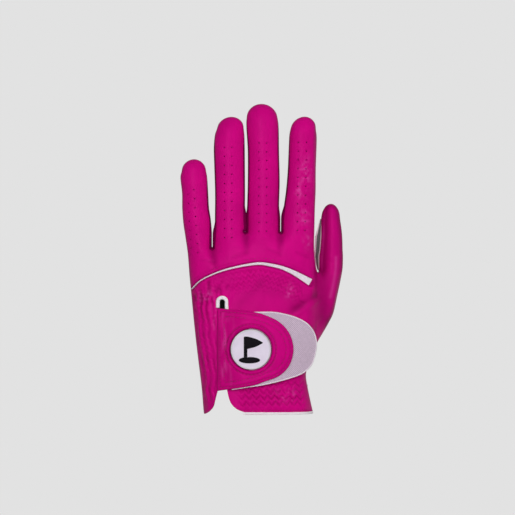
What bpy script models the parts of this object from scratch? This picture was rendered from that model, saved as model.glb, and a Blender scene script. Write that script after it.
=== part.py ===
"""Golf glove for the left hand, upright as on a raised hand.

+Z runs from the wrist opening to the fingertips, -Y is the back of the hand, +Y the palm and +X the
thumb side. The origin is the middle of the wrist opening, level with the cuff's lowest edge.
Outlines are written in millimetres in the X-Z plane, and every mesh is written in metres.
"""

import math

import bpy
import numpy as np
from mathutils import Vector
from mathutils.bvhtree import BVHTree
from mathutils.geometry import delaunay_2d_cdt

MM = 0.001

# Leather and seams
LEATHER = 0.9
SEAM_GAP = 0.3
TAPE = 0.6

# Outline: (z, centre x, half width) up each finger, then its tip (x, z)
FINGERS = {
    "little": {
        "stations": [
            (119.4, -38.4, 8.7),
            (128.8, -39.4, 8.4),
            (138.1, -39.7, 8.2),
            (147.5, -40.5, 8.4),
            (151.2, -40.5, 7.8),
        ],
        "tip": (-40.4, 159.4),
        "hinge_z": 103.6,
        "fourchettes": ("right",),
    },
    "ring": {
        "stations": [
            (115.5, -17.8, 9.6),
            (124.4, -17.9, 9.4),
            (138.1, -17.8, 9.4),
            (155.0, -18.1, 9.6),
            (166.0, -18.3, 9.7),
            (174.0, -18.1, 9.3),
            (178.0, -17.7, 8.5),
        ],
        "tip": (-16.9, 186.0),
        "hinge_z": 113.7,
        "fourchettes": ("left", "right"),
    },
    "middle": {
        "stations": [
            (115.5, 3.0, 10.2),
            (128.8, 2.9, 10.0),
            (145.6, 3.3, 10.0),
            (164.4, 3.1, 9.8),
            (178.0, 2.6, 10.1),
            (184.5, 2.3, 9.8),
        ],
        "tip": (1.9, 194.1),
        "hinge_z": 113.7,
        "fourchettes": ("left", "right"),
    },
    "index": {
        "stations": [
            (115.5, 24.9, 10.2),
            (121.2, 25.1, 10.1),
            (128.8, 25.6, 9.8),
            (140.0, 26.6, 9.3),
            (153.1, 27.2, 8.8),
            (171.9, 27.9, 8.7),
            (177.5, 28.0, 8.1),
        ],
        "tip": (28.9, 186.1),
        "hinge_z": 113.7,
        "fourchettes": ("left",),
    },
    "thumb": {
        "stations": [
            (98.0, 45.2, 8.0),
            (102.5, 45.4, 7.6),
            (110.0, 45.6, 7.2),
            (115.6, 45.6, 6.7),
            (121.2, 45.4, 6.1),
        ],
        "tip": (45.6, 131.6),
        "fourchettes": ("left",),
    },
}
CROTCHES = [(-29.0, 103.1), (-8.1, 113.1), (13.9, 113.1)]
THUMB_CROTCH = (37.4, 88.4)
LEFT_EDGE = [
    (-34.2, 0.0),
    (-34.7, 5.0),
    (-35.3, 13.0),
    (-36.1, 20.5),
    (-38.3, 38.0),
    (-40.3, 56.0),
    (-42.2, 76.0),
    (-43.2, 86.0),
    (-44.3, 100.0),
    (-45.7, 110.0),
]
INDEX_EDGE = [(34.9, 106.0), (35.2, 98.5), (36.0, 92.5)]
THUMB_EDGE = [
    (52.9, 90.5),
    (51.6, 83.2),
    (49.6, 73.8),
    (47.2, 63.1),
    (44.0, 56.4),
    (40.3, 50.0),
    (36.6, 43.8),
    (33.0, 35.5),
    (30.2, 27.0),
    (29.9, 22.0),
    (31.2, 14.5),
    (32.8, 7.0),
    (34.4, 0.0),
]
THUMB_SEAM = ((36.4, 43.0), (38.3, 88.4))
# The gap between index finger and thumb: its x, and how it leans below a height, up to the thumb's tip
INDEX_GAP_X = 36.45
INDEX_GAP_LEAN = 0.11
INDEX_GAP_BEND_Z = 97.0
THUMB_TOP = 135.0
# The thumb seam leaves off this much above the crotch on the palm
CROTCH_RISE = 2.0

# Depth of the glove as filled by a hand
SWELL_LENGTH = 11.0
SWELL_SCALE = 1.23
WRIST_SWELL = 1.16
WRIST_OPEN_HALF = 33.5
THUMB_DROP = 7.0
# Where the drop towards the thumb starts and ends in x: low on the hand, then beside the thumb's crotch
DROP_LOW = (28.0, 43.0)
DROP_HIGH = (34.6, 38.4)
DROP_TURN = (52.0, 92.0)
FOURCHETTE_INSET = 1.0
GUSSET_BULGE = 1.9

# Seams over the back and the wrist edges
TRIM = [
    (-44.0, 76.6),
    (-41.6, 78.3),
    (-36.2, 83.4),
    (-26.6, 88.1),
    (-15.4, 91.5),
    (-0.8, 94.0),
    (7.6, 93.1),
    (15.4, 91.2),
    (23.2, 87.7),
    (32.4, 82.4),
]
TRIM_HALF_WIDTHS = [0.35, 0.35, 0.4, 0.55, 0.7, 0.95, 1.1, 1.25, 1.7, 2.3]
# The trim's seam runs on from its cut end to the thumb seam
TRIM_SEAM_END = (39.5, 77.35)
SLIT_X = -22.6
SLIT_TOP = 72.3
SLIT_HALF = 2.2
BINDING_WIDTH = 1.8
BINDING_FOOT = 20.0
TAIL_CORNER = [(-25.7, 14.4), (-26.9, 10.8), (-28.0, 5.6), (-30.4, 2.2), (-33.7, 0.0)]
CUFF_CORNER = [(-19.4, 14.4), (-17.3, 7.4), (-13.4, 3.4), (-8.0, 1.35)]
HEM_WIDTH = 1.1
PALM_HEM_WIDTH = 1.9
# The palm's wrist edge is a shallow curve: lowest height, rise, and the x and reach of the curve
PALM_EDGE_LOW = 16.5
PALM_EDGE_RISE = 3.5
PALM_EDGE_X = 32.0
PALM_EDGE_REACH = 68.0

# Joint clearances, measured from each hinge line
BACK_GAP = 0.9
PALM_HAND_GAP = 4.0
PALM_FINGER_GAP = 8.0
THUMB_HAND_GAP = 1.6
THUMB_FINGER_GAP = 7.6
FOURCHETTE_START = 5.5

# Closure tab
TAB_LEFT = -25.6
TAB_RIGHT_CURVE = [
    (-5.1, 64.3),
    (4.5, 61.9),
    (13.4, 57.4),
    (19.4, 50.3),
    (21.8, 40.7),
    (19.4, 31.1),
    (13.4, 24.6),
    (4.5, 21.0),
    (-5.1, 18.0),
]
BACKING_CURVE = [
    (-6.0, 63.6),
    (8.1, 63.8),
    (16.4, 62.5),
    (24.2, 60.1),
    (30.8, 56.2),
    (35.0, 50.2),
    (36.2, 42.5),
    (33.8, 32.3),
    (28.4, 26.4),
    (19.4, 22.8),
    (4.5, 19.2),
    (-6.0, 18.6),
]
HOOK_CURVE = [(6.0, 52.0), (13.0, 50.0), (17.5, 44.0), (17.5, 36.0), (13.0, 31.0), (6.0, 29.0)]
LOOP_CURVE = [
    (0.0, 54.0),
    (14.0, 54.5),
    (21.0, 48.0),
    (22.5, 40.0),
    (20.0, 31.0),
    (13.0, 26.5),
    (0.0, 27.0),
]
# Heights of the closure's layers above the glove, from the loop patch outwards
LOOP_LAYER = (0.3, 1.1)
HOOK_LAYER = (1.4, 2.2)
BACKING_LAYER = (2.5, 3.3)
SOCKET_LAYER = (3.6, 4.4)
MARKER_BASE = 4.7
TAB_LEATHER = 1.1
TAB_BEND_X = 20.0
TAB_BEND = 0.012
MARKER_CENTRE = (-4.7, 40.75)
MARKER_RADIUS = 12.5
MARKER_THICKNESS = 1.5
POCKET_RADIUS = 12.9
MAGNET_RADIUS = 5.0
ROUND_SEGMENTS = 48
EMBLEM_RISE = 0.1
EMBLEM_THICKNESS = 0.25
# The emblem, from the marker's centre: the pole's sides and top, its flag, and the green's centre and radii
POLE_SIDES = (-4.4, -2.2)
POLE_TOP = 8.1
PENNANT = [(3.2, 6.6), (7.4, 4.2), (3.2, 1.8)]
PENNANT_BOTTOM = 0.3
GREEN_CENTRE = (-0.9, -6.6)
GREEN_RADII = (6.6, 2.0)

# Elastic tapes: distances below the trim, and outlines
KNUCKLE_TAPE_X = (-12.0, 30.0)
KNUCKLE_TAPE_BELOW = (4.5, 14.5)
SIDE_TAPE = [(-29.0, 24.0), (-32.0, 24.0), (-34.0, 50.0), (-35.5, 74.0), (-29.0, 74.0)]
CUFF_TAPE = [(-12.0, 6.0), (27.5, 6.0), (26.0, 16.0), (-14.0, 16.0)]

# Mesh sizes
EDGE_STEP = 6.0
GRID_STEP = 8.0
FIELD_STEP = 2.2

PINK = (0.552, 0.002, 0.188)
WHITE = (0.80, 0.79, 0.83)
LILAC_GREY = (0.58, 0.54, 0.62)
BLACK = (0.012, 0.012, 0.016)
DARK_PLASTIC = (0.05, 0.05, 0.055)
STEEL = (0.55, 0.56, 0.58)


def clear_scene():
    for item in list(bpy.data.objects):
        bpy.data.objects.remove(item, do_unlink=True)


def material(name, colour, roughness, metallic=0.0):
    made = bpy.data.materials.new(name)
    made.use_nodes = True
    shader = made.node_tree.nodes["Principled BSDF"]
    shader.inputs["Base Color"].default_value = (*colour, 1.0)
    shader.inputs["Roughness"].default_value = roughness
    shader.inputs["Metallic"].default_value = metallic
    return made


def smoothstep(low, high, value):
    t = np.clip((value - low) / (high - low), 0.0, 1.0)
    return t * t * (3.0 - 2.0 * t)


# ---------------------------------------------------------------- outlines


def spline(points, step, closed=False):
    """Catmull-Rom curve through the points, which it keeps, with a point about every step."""
    control = np.array(points, float)
    count = len(control)
    spans = count if closed else count - 1
    curve = []
    for i in range(spans):
        if closed:
            a, b, c, d = (control[(i + k) % count] for k in (-1, 0, 1, 2))
        else:
            a, b, c, d = (control[min(max(i + k, 0), count - 1)] for k in (-1, 0, 1, 2))
        pieces = max(1, math.ceil(float(np.linalg.norm((c - b)[:2])) / step))
        for k in range(pieces):
            t = k / pieces
            curve.append(
                0.5 * (2 * b + (c - a) * t + (2 * a - 5 * b + 4 * c - d) * t**2)
                + 0.5 * (3 * b - a - 3 * c + d) * t**3
            )
    if not closed:
        curve.append(control[-1])
    return np.array(curve)


def dense_line(points, step=EDGE_STEP):
    """A polyline with a point about every step."""
    line = [np.array(points[0], float)]
    for start, end in zip(points[:-1], points[1:]):
        start, end = np.array(start, float), np.array(end, float)
        pieces = max(1, math.ceil(float(np.linalg.norm(end - start)) / step))
        line += [start + (end - start) * k / pieces for k in range(1, pieces + 1)]
    return np.array(line)


def finger_share(name, side, z):
    """How much of the fourchette's width shows on this side of a finger at height z."""
    finger = FINGERS[name]
    if side not in finger["fourchettes"]:
        return 0.0
    tip_z = finger["tip"][1]
    return float(smoothstep(tip_z - 8.0, tip_z - 22.0, z))


def finger_outline(name):
    """Control points (x, z, fourchette share) up one side of a finger, over its tip and down."""
    finger = FINGERS[name]
    stations = finger["stations"]
    tip_x, tip_z = finger["tip"]
    last_z, last_x, last_half = stations[-1]
    up = [(x - half, z, finger_share(name, "left", z)) for z, x, half in stations]
    down = [(x + half, z, finger_share(name, "right", z)) for z, x, half in stations]
    tip = []
    for degrees in (150, 120, 90, 60, 30):
        turn = math.radians(degrees)
        x = last_x + (tip_x - last_x) * math.sin(turn) + last_half * math.cos(turn)
        tip.append((x, last_z + (tip_z - last_z) * math.sin(turn), 0.0))
    return up + tip + down[::-1]


def glove_outline(step):
    """The whole silhouette from the wrist's left corner clockwise, with the fourchette share."""
    points = [(x, z, 0.0) for x, z in LEFT_EDGE]
    names = ["little", "ring", "middle", "index"]
    for name, crotch in zip(names, CROTCHES + [None]):
        points += finger_outline(name)
        if crotch:
            x, z = crotch
            points += [(x - 0.85, z + 1.6, 1.0), (x - 0.55, z + 0.4, 1.0), (x, z, 1.0)]
            points += [(x + 0.55, z + 0.4, 1.0), (x + 0.85, z + 1.6, 1.0)]
    points += [(x, z, 0.0) for x, z in INDEX_EDGE]
    x, z = THUMB_CROTCH
    points += [(x - 0.5, z + 0.6, 0.0), (x, z, 0.0), (x + 0.4, z + 0.8, 0.0)]
    points += [(37.5, 91.5, 0.6)]
    points += finger_outline("thumb")
    points += [(x, z, 0.0) for x, z in THUMB_EDGE]
    curve = spline(points, step)
    curve[:, 2] = np.clip(curve[:, 2], 0.0, 1.0)
    wrist = dense_line([THUMB_EDGE[-1], LEFT_EDGE[0]], step)[1:-1]
    return np.concatenate([curve, np.column_stack([wrist, np.zeros(len(wrist))])])


def inward_normals(loop):
    """Unit normals into the area of a clockwise loop."""
    ahead = np.roll(loop[:, :2], -1, axis=0)
    behind = np.roll(loop[:, :2], 1, axis=0)
    along = ahead - behind
    along /= np.linalg.norm(along, axis=1)[:, None]
    return np.stack([along[:, 1], -along[:, 0]], axis=1)


def sheet_outline(step):
    """The edge of the back and palm leather: the silhouette, drawn in where fourchettes are sewn."""
    loop = glove_outline(step)
    inset = loop[:, 2:3] * FOURCHETTE_INSET
    return loop[:, :2] + inward_normals(loop) * inset


def inside(loop, points):
    """Which points lie inside a closed loop."""
    x, z = points[:, 0], points[:, 1]
    result = np.zeros(len(points), bool)
    for (x0, z0), (x1, z1) in zip(loop, np.roll(loop, -1, axis=0)):
        if z0 == z1:
            continue
        crosses = (z0 > z) != (z1 > z)
        result ^= crosses & (x < (x1 - x0) * (z - z0) / (z1 - z0) + x0)
    return result


def distance_to(loop, points):
    """Distance of each point to a closed loop."""
    best = np.full(len(points), 1e9)
    for start, end in zip(loop, np.roll(loop, -1, axis=0)):
        along = end - start
        length2 = float(along @ along)
        if length2 < 1e-12:
            continue
        t = np.clip(((points - start) @ along) / length2, 0, 1)
        best = np.minimum(best, np.linalg.norm(points - start - t[:, None] * along, axis=1))
    return best


def grid_points(loop, step, margin):
    """Staggered grid points inside a loop, at least margin from it."""
    low, high = loop.min(axis=0), loop.max(axis=0)
    rows = np.arange(low[1] + step / 2, high[1], step * 0.87)
    points = []
    for row, z in enumerate(rows):
        for x in np.arange(low[0] + step * (0.25 + 0.5 * (row % 2)), high[0], step):
            points.append((x, z))
    points = np.array(points)
    points = points[inside(loop, points)]
    return points[distance_to(loop, points) > margin]


def ring_points(loop, insets):
    """Points at set distances inside a clockwise loop, where those distances are true ones."""
    normals = inward_normals(loop)
    rings = []
    for inset in insets:
        ring = loop + normals * inset
        keep = inside(loop, ring) & (distance_to(loop, ring) > 0.93 * inset)
        rings.append(ring[keep])
    return np.concatenate(rings)


def triangulate(loops, lines, points):
    """Triangles between the loops, with every line kept as edges. Returns vertices and triangles."""
    vertices = []
    edges = []
    for chain, closed in [(loop, True) for loop in loops] + [(line, False) for line in lines]:
        first = len(vertices)
        vertices += [Vector((float(x), float(z))) for x, z in chain]
        edges += [(first + i, first + i + 1) for i in range(len(chain) - 1)]
        if closed:
            edges.append((len(vertices) - 1, first))
    vertices += [Vector((float(x), float(z))) for x, z in points]
    made = delaunay_2d_cdt(vertices, edges, [], 0, 1e-5)
    flat = np.array([tuple(v) for v in made[0]])
    triangles = np.array([tuple(face) for face in made[2]])
    middles = flat[triangles].mean(axis=1)
    keep = inside(loops[0], middles)
    for hole in loops[1:]:
        keep &= ~inside(hole, middles)
    return flat, triangles[keep]


# ---------------------------------------------------------------- the filled shape


class FilledShape:
    """Half depth and middle surface of the glove over the X-Z plane.

    The half depth is the square root of a membrane held at zero along the silhouette and pushed up
    evenly. It gives round fingers and a broad, flatter hand, open at the wrist.
    """

    def __init__(self):
        loop = glove_outline(FIELD_STEP)[:, :2]
        rings = ring_points(loop, [1.0])
        grid = grid_points(loop, FIELD_STEP, 1.6)
        self.flat, self.triangles = triangulate([loop], [], np.concatenate([rings, grid]))
        open_edge = (self.flat[:, 1] < 0.01) & (np.abs(self.flat[:, 0]) < WRIST_OPEN_HALF)
        held = (distance_to(loop, self.flat) < 1e-3) & ~open_edge
        height = self.solve(held)
        wrist = 1.0 + (WRIST_SWELL - 1.0) * smoothstep(72.0, 8.0, self.flat[:, 1])
        self.height = height * SWELL_SCALE**2 * wrist**2
        self.slope = self.slopes()
        faces = [tuple(int(i) for i in t) for t in self.triangles]
        self.tree = BVHTree.FromPolygons([(x, z, 0.0) for x, z in self.flat], faces)

    def corner_terms(self):
        a, b, c = (self.flat[self.triangles[:, k]] for k in range(3))
        area2 = (b[:, 0] - a[:, 0]) * (c[:, 1] - a[:, 1]) - (b[:, 1] - a[:, 1]) * (c[:, 0] - a[:, 0])
        grads = np.stack([c - b, a - c, b - a], axis=1)
        grads = np.stack([-grads[:, :, 1], grads[:, :, 0]], axis=2) / area2[:, None, None]
        return grads, np.abs(area2) / 2

    def solve(self, held):
        grads, area = self.corner_terms()
        count = len(self.flat)
        stiff = np.einsum("tik,tjk->tij", grads, grads) * area[:, None, None]
        lumped = np.bincount(self.triangles.ravel(), np.repeat(area / 3, 3), count)
        rows = np.repeat(self.triangles, 3, axis=1).ravel()
        columns = np.tile(self.triangles, (1, 3)).ravel()
        values = stiff.ravel()
        free = ~held

        def apply(vector):
            out = np.bincount(rows, values * vector[columns], count)
            return (out + lumped * vector / SWELL_LENGTH**2) * free

        solution = np.zeros(count)
        residual = lumped * free
        direction = residual.copy()
        size = residual @ residual
        goal = size * 1e-14
        while size > goal:
            pushed = apply(direction)
            move = size / (direction @ pushed)
            solution += move * direction
            residual = residual - move * pushed
            new_size = residual @ residual
            direction = residual + (new_size / size) * direction
            size = new_size
        return np.maximum(solution, 0.0)

    def slopes(self):
        grads, area = self.corner_terms()
        face_slope = np.einsum("tik,ti->tk", grads, self.height[self.triangles])
        total = np.zeros((len(self.flat), 2))
        weight = np.bincount(self.triangles.ravel(), np.repeat(area, 3), len(self.flat))
        for k in range(2):
            share = np.repeat(area * face_slope[:, k], 3)
            total[:, k] = np.bincount(self.triangles.ravel(), share, len(self.flat)) / weight
        return total

    def sample(self, points):
        """Squared half depth and its slope at each point."""
        height = np.zeros(len(points))
        slope = np.zeros((len(points), 2))
        for i, (x, z) in enumerate(points):
            spot, _, face, _ = self.tree.find_nearest((float(x), float(z), 0.0))
            corners = self.triangles[face]
            a, b, c = self.flat[corners]
            whole = (b[0] - a[0]) * (c[1] - a[1]) - (b[1] - a[1]) * (c[0] - a[0])
            wb = ((spot[0] - a[0]) * (c[1] - a[1]) - (spot[1] - a[1]) * (c[0] - a[0])) / whole
            wc = ((b[0] - a[0]) * (spot[1] - a[1]) - (b[1] - a[1]) * (spot[0] - a[0])) / whole
            shares = np.array([1 - wb - wc, wb, wc])
            height[i] = max(0.0, float(shares @ self.height[corners]))
            slope[i] = shares @ self.slope[corners]
        return height, slope

    @staticmethod
    def middle(points):
        """y of the surface half way between back and palm: the thumb sits towards the palm."""
        turn = smoothstep(DROP_TURN[0], DROP_TURN[1], points[:, 1])
        start = DROP_LOW[0] + (DROP_HIGH[0] - DROP_LOW[0]) * turn
        end = DROP_LOW[1] + (DROP_HIGH[1] - DROP_LOW[1]) * turn
        return THUMB_DROP * smoothstep(start, end, points[:, 0])

    def surface(self, points, side):
        """Points and outward normals on the back (side -1) or the palm (side +1), in mm."""
        points = np.asarray(points, float)
        height, slope = self.sample(points)
        depth = np.sqrt(height)
        step = 0.25
        middle = self.middle(points)
        lean_x = (self.middle(points + np.array([step, 0.0])) - middle) / step
        lean_z = (self.middle(points + np.array([0.0, step])) - middle) / step
        y = middle + side * (SEAM_GAP / 2 + depth)
        spots = np.stack([points[:, 0], y, points[:, 1]], axis=1)
        normal_x = -slope[:, 0] / 2 - side * depth * lean_x
        normal_z = -slope[:, 1] / 2 - side * depth * lean_z
        normals = np.stack([normal_x, side * depth, normal_z], axis=1)
        normals /= np.maximum(np.linalg.norm(normals, axis=1), 1e-9)[:, None]
        return spots, normals


# ---------------------------------------------------------------- solids


def outward(spots, faces):
    """The faces, all turned over if the solid they close has a negative volume."""
    volume = 0.0
    for face in faces:
        a = spots[face[0]]
        for b, c in zip(face[1:-1], face[2:]):
            volume += float(np.dot(a, np.cross(spots[b], spots[c])))
    return [tuple(reversed(face)) for face in faces] if volume < 0 else faces


def add_object(name, spots, faces, look, pivot=(0.0, 0.0, 0.0)):
    """One closed mesh object from points in mm, with its origin on its joint's axis."""
    base = np.array(pivot, float)
    faces = outward(spots, faces)
    mesh = bpy.data.meshes.new(name)
    mesh.from_pydata([tuple((p - base) * MM) for p in spots], [], faces)
    mesh.validate()
    mesh.shade_smooth()
    mesh.set_sharp_from_angle(angle=math.radians(45))
    mesh.materials.append(look)
    made = bpy.data.objects.new(name, mesh)
    made.location = tuple(base * MM)
    bpy.context.scene.collection.objects.link(made)
    return made


def shell_faces(triangles, count, flip):
    """Faces of a sheet given thickness: its outer triangles, its inner ones and its edge."""
    faces = []
    sides = {}
    for a, b, c in triangles:
        a, b, c = int(a), int(b), int(c)
        if flip:
            b, c = c, b
        faces.append((a, b, c))
        faces.append((a + count, c + count, b + count))
        for start, end in ((a, b), (b, c), (c, a)):
            sides[(start, end)] = True
    for start, end in sides:
        if (end, start) not in sides:
            faces.append((start, start + count, end + count, end))
    return faces


def compact(flat, triangles):
    """The vertices that the triangles use, and the triangles renumbered."""
    used = np.unique(triangles)
    order = np.full(len(flat), -1)
    order[used] = np.arange(len(used))
    return flat[used], order[triangles]


def counter_clockwise(flat, triangles):
    a, b, c = (flat[triangles[:, k]] for k in range(3))
    area2 = (b[:, 0] - a[:, 0]) * (c[:, 1] - a[:, 1]) - (b[:, 1] - a[:, 1]) * (c[:, 0] - a[:, 0])
    turned = triangles.copy()
    turned[area2 < 0] = turned[area2 < 0][:, ::-1]
    return turned


def leather_shell(name, shape, flat, triangles, side, look, thickness, lift, pivot):
    """A sheet on the glove's back or palm with real thickness, sunk inwards by minus lift."""
    flat, triangles = compact(flat, triangles)
    triangles = counter_clockwise(flat, triangles)
    spots, normals = shape.surface(flat, side)
    outer = spots + normals * lift
    inner = outer - normals * thickness
    faces = shell_faces(triangles, len(flat), side > 0)
    return add_object(name, np.concatenate([outer, inner]), faces, look, pivot)


def flat_layer(name, surface_y, flat, triangles, low, high, look, pivot):
    """A layer of the tab between two heights above the surface y(x, z), outwards along -Y."""
    flat, triangles = compact(flat, triangles)
    triangles = counter_clockwise(flat, triangles)
    base = surface_y(flat)
    top = np.stack([flat[:, 0], base - high(flat), flat[:, 1]], axis=1)
    bottom = np.stack([flat[:, 0], base - low(flat), flat[:, 1]], axis=1)
    faces = shell_faces(triangles, len(flat), False)
    return add_object(name, np.concatenate([top, bottom]), faces, look, pivot)


# ---------------------------------------------------------------- seams on the sheets


def trim_edges():
    """The four lines along the knuckle trim, from the panel above it to the panel below."""
    control = [(x, z, half) for (x, z), half in zip(TRIM, TRIM_HALF_WIDTHS)]
    curve = spline(control, EDGE_STEP)
    along = np.gradient(curve[:, :2], axis=0)
    along /= np.linalg.norm(along, axis=1)[:, None]
    up = np.stack([-along[:, 1], along[:, 0]], axis=1)
    return curve, up


def seam_distance(points):
    """Signed distance from the thumb seam, positive on the thumb."""
    start, end = (np.array(p) for p in THUMB_SEAM)
    along = (end - start) / np.linalg.norm(end - start)
    across = np.array([along[1], -along[0]])
    return (points - start) @ across


def on_thumb(points):
    """The thumb's side of the seam and, above it, of the gap beside the index finger."""
    x, z = points[:, 0], points[:, 1]
    gap_x = INDEX_GAP_X + INDEX_GAP_LEAN * np.maximum(INDEX_GAP_BEND_Z - z, 0.0)
    above = (z > THUMB_CROTCH[1]) & (z < THUMB_TOP) & (x > gap_x)
    beside_seam = (z <= THUMB_CROTCH[1]) & (z > THUMB_SEAM[0][1])
    return above | (beside_seam & (seam_distance(points) > 0))


def seam_line(offset):
    start, end = (np.array(p) for p in THUMB_SEAM)
    along = (end - start) / np.linalg.norm(end - start)
    across = np.array([along[1], -along[0]])
    return dense_line([start - along * 6 + across * offset, end + along * 4 + across * offset])


def slit_loop(half_width, foot):
    """The keyhole and the slit under it, at a half width, closed below at the foot height."""
    top = SLIT_TOP - SLIT_HALF
    left_leg = dense_line([(SLIT_X - half_width, foot), (SLIT_X - half_width, top)])
    right_leg = dense_line([(SLIT_X + half_width, top), (SLIT_X + half_width, foot)])
    loop = [tuple(p) for p in left_leg[:-1]]
    for degrees in range(180, -1, -30):
        turn = math.radians(degrees)
        loop.append((SLIT_X + half_width * math.cos(turn), top + half_width * math.sin(turn)))
    loop += [tuple(p) for p in right_leg[1:]]
    return np.array(loop)


def slit_opening():
    """The leather's cut: wide enough for the binding, flaring to the cuff's two corners."""
    wide = slit_loop(SLIT_HALF + BINDING_WIDTH + SEAM_GAP, BINDING_FOOT)
    tail = [(x, z) for x, z in TAIL_CORNER] + [(-33.7, -2.0)]
    cuff = [(-8.0, -2.0)] + [(x, z) for x, z in CUFF_CORNER[::-1]]
    return np.array(tail[::-1] + [tuple(p) for p in wide] + cuff[::-1])


def palm_hem_z(x):
    """Height of the palm's wrist edge."""
    return PALM_EDGE_LOW + PALM_EDGE_RISE * ((x - PALM_EDGE_X) / PALM_EDGE_REACH) ** 2


def finger_of(points):
    """The column of the hand that each point is in, by the crotches' x."""
    names = np.array(["little", "ring", "middle", "index"])
    bounds = [x for x, _ in CROTCHES]
    return names[np.searchsorted(bounds, points[:, 0])]


def hinge_lines(below, above):
    """Cut lines across each finger, below and above its hinge."""
    bounds = [-60.0] + [x for x, _ in CROTCHES] + [INDEX_GAP_X]
    lines = []
    for name, low, high in zip(["little", "ring", "middle", "index"], bounds[:-1], bounds[1:]):
        hinge = FINGERS[name]["hinge_z"]
        for z in (hinge - below, hinge + above):
            lines.append(dense_line([(low, z), (high, z)]))
    return lines


def zone_parts(flat, triangles, below, above, seam_low, seam_high):
    """Splits a sheet at the finger hinges and the thumb seam. Returns hand, fingers and thumb."""
    middles = flat[triangles].mean(axis=1)
    seam = seam_distance(middles)
    thumb_side = on_thumb(middles)
    above_crotch = middles[:, 1] > THUMB_CROTCH[1] + CROTCH_RISE
    thumb = thumb_side & ((seam > seam_high) | above_crotch)
    column = finger_of(middles)
    hinge = np.array([FINGERS[name]["hinge_z"] for name in column])
    beside_seam = (seam > -seam_low) & (middles[:, 1] > THUMB_SEAM[0][1]) & ~above_crotch
    hand = ~thumb_side & ~beside_seam & (middles[:, 1] < hinge - below)
    parts = {"hand": hand, "thumb": thumb}
    for name in ("little", "ring", "middle", "index"):
        parts[name] = ~thumb_side & (column == name) & (middles[:, 1] > hinge + above)
    return parts, middles


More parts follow.
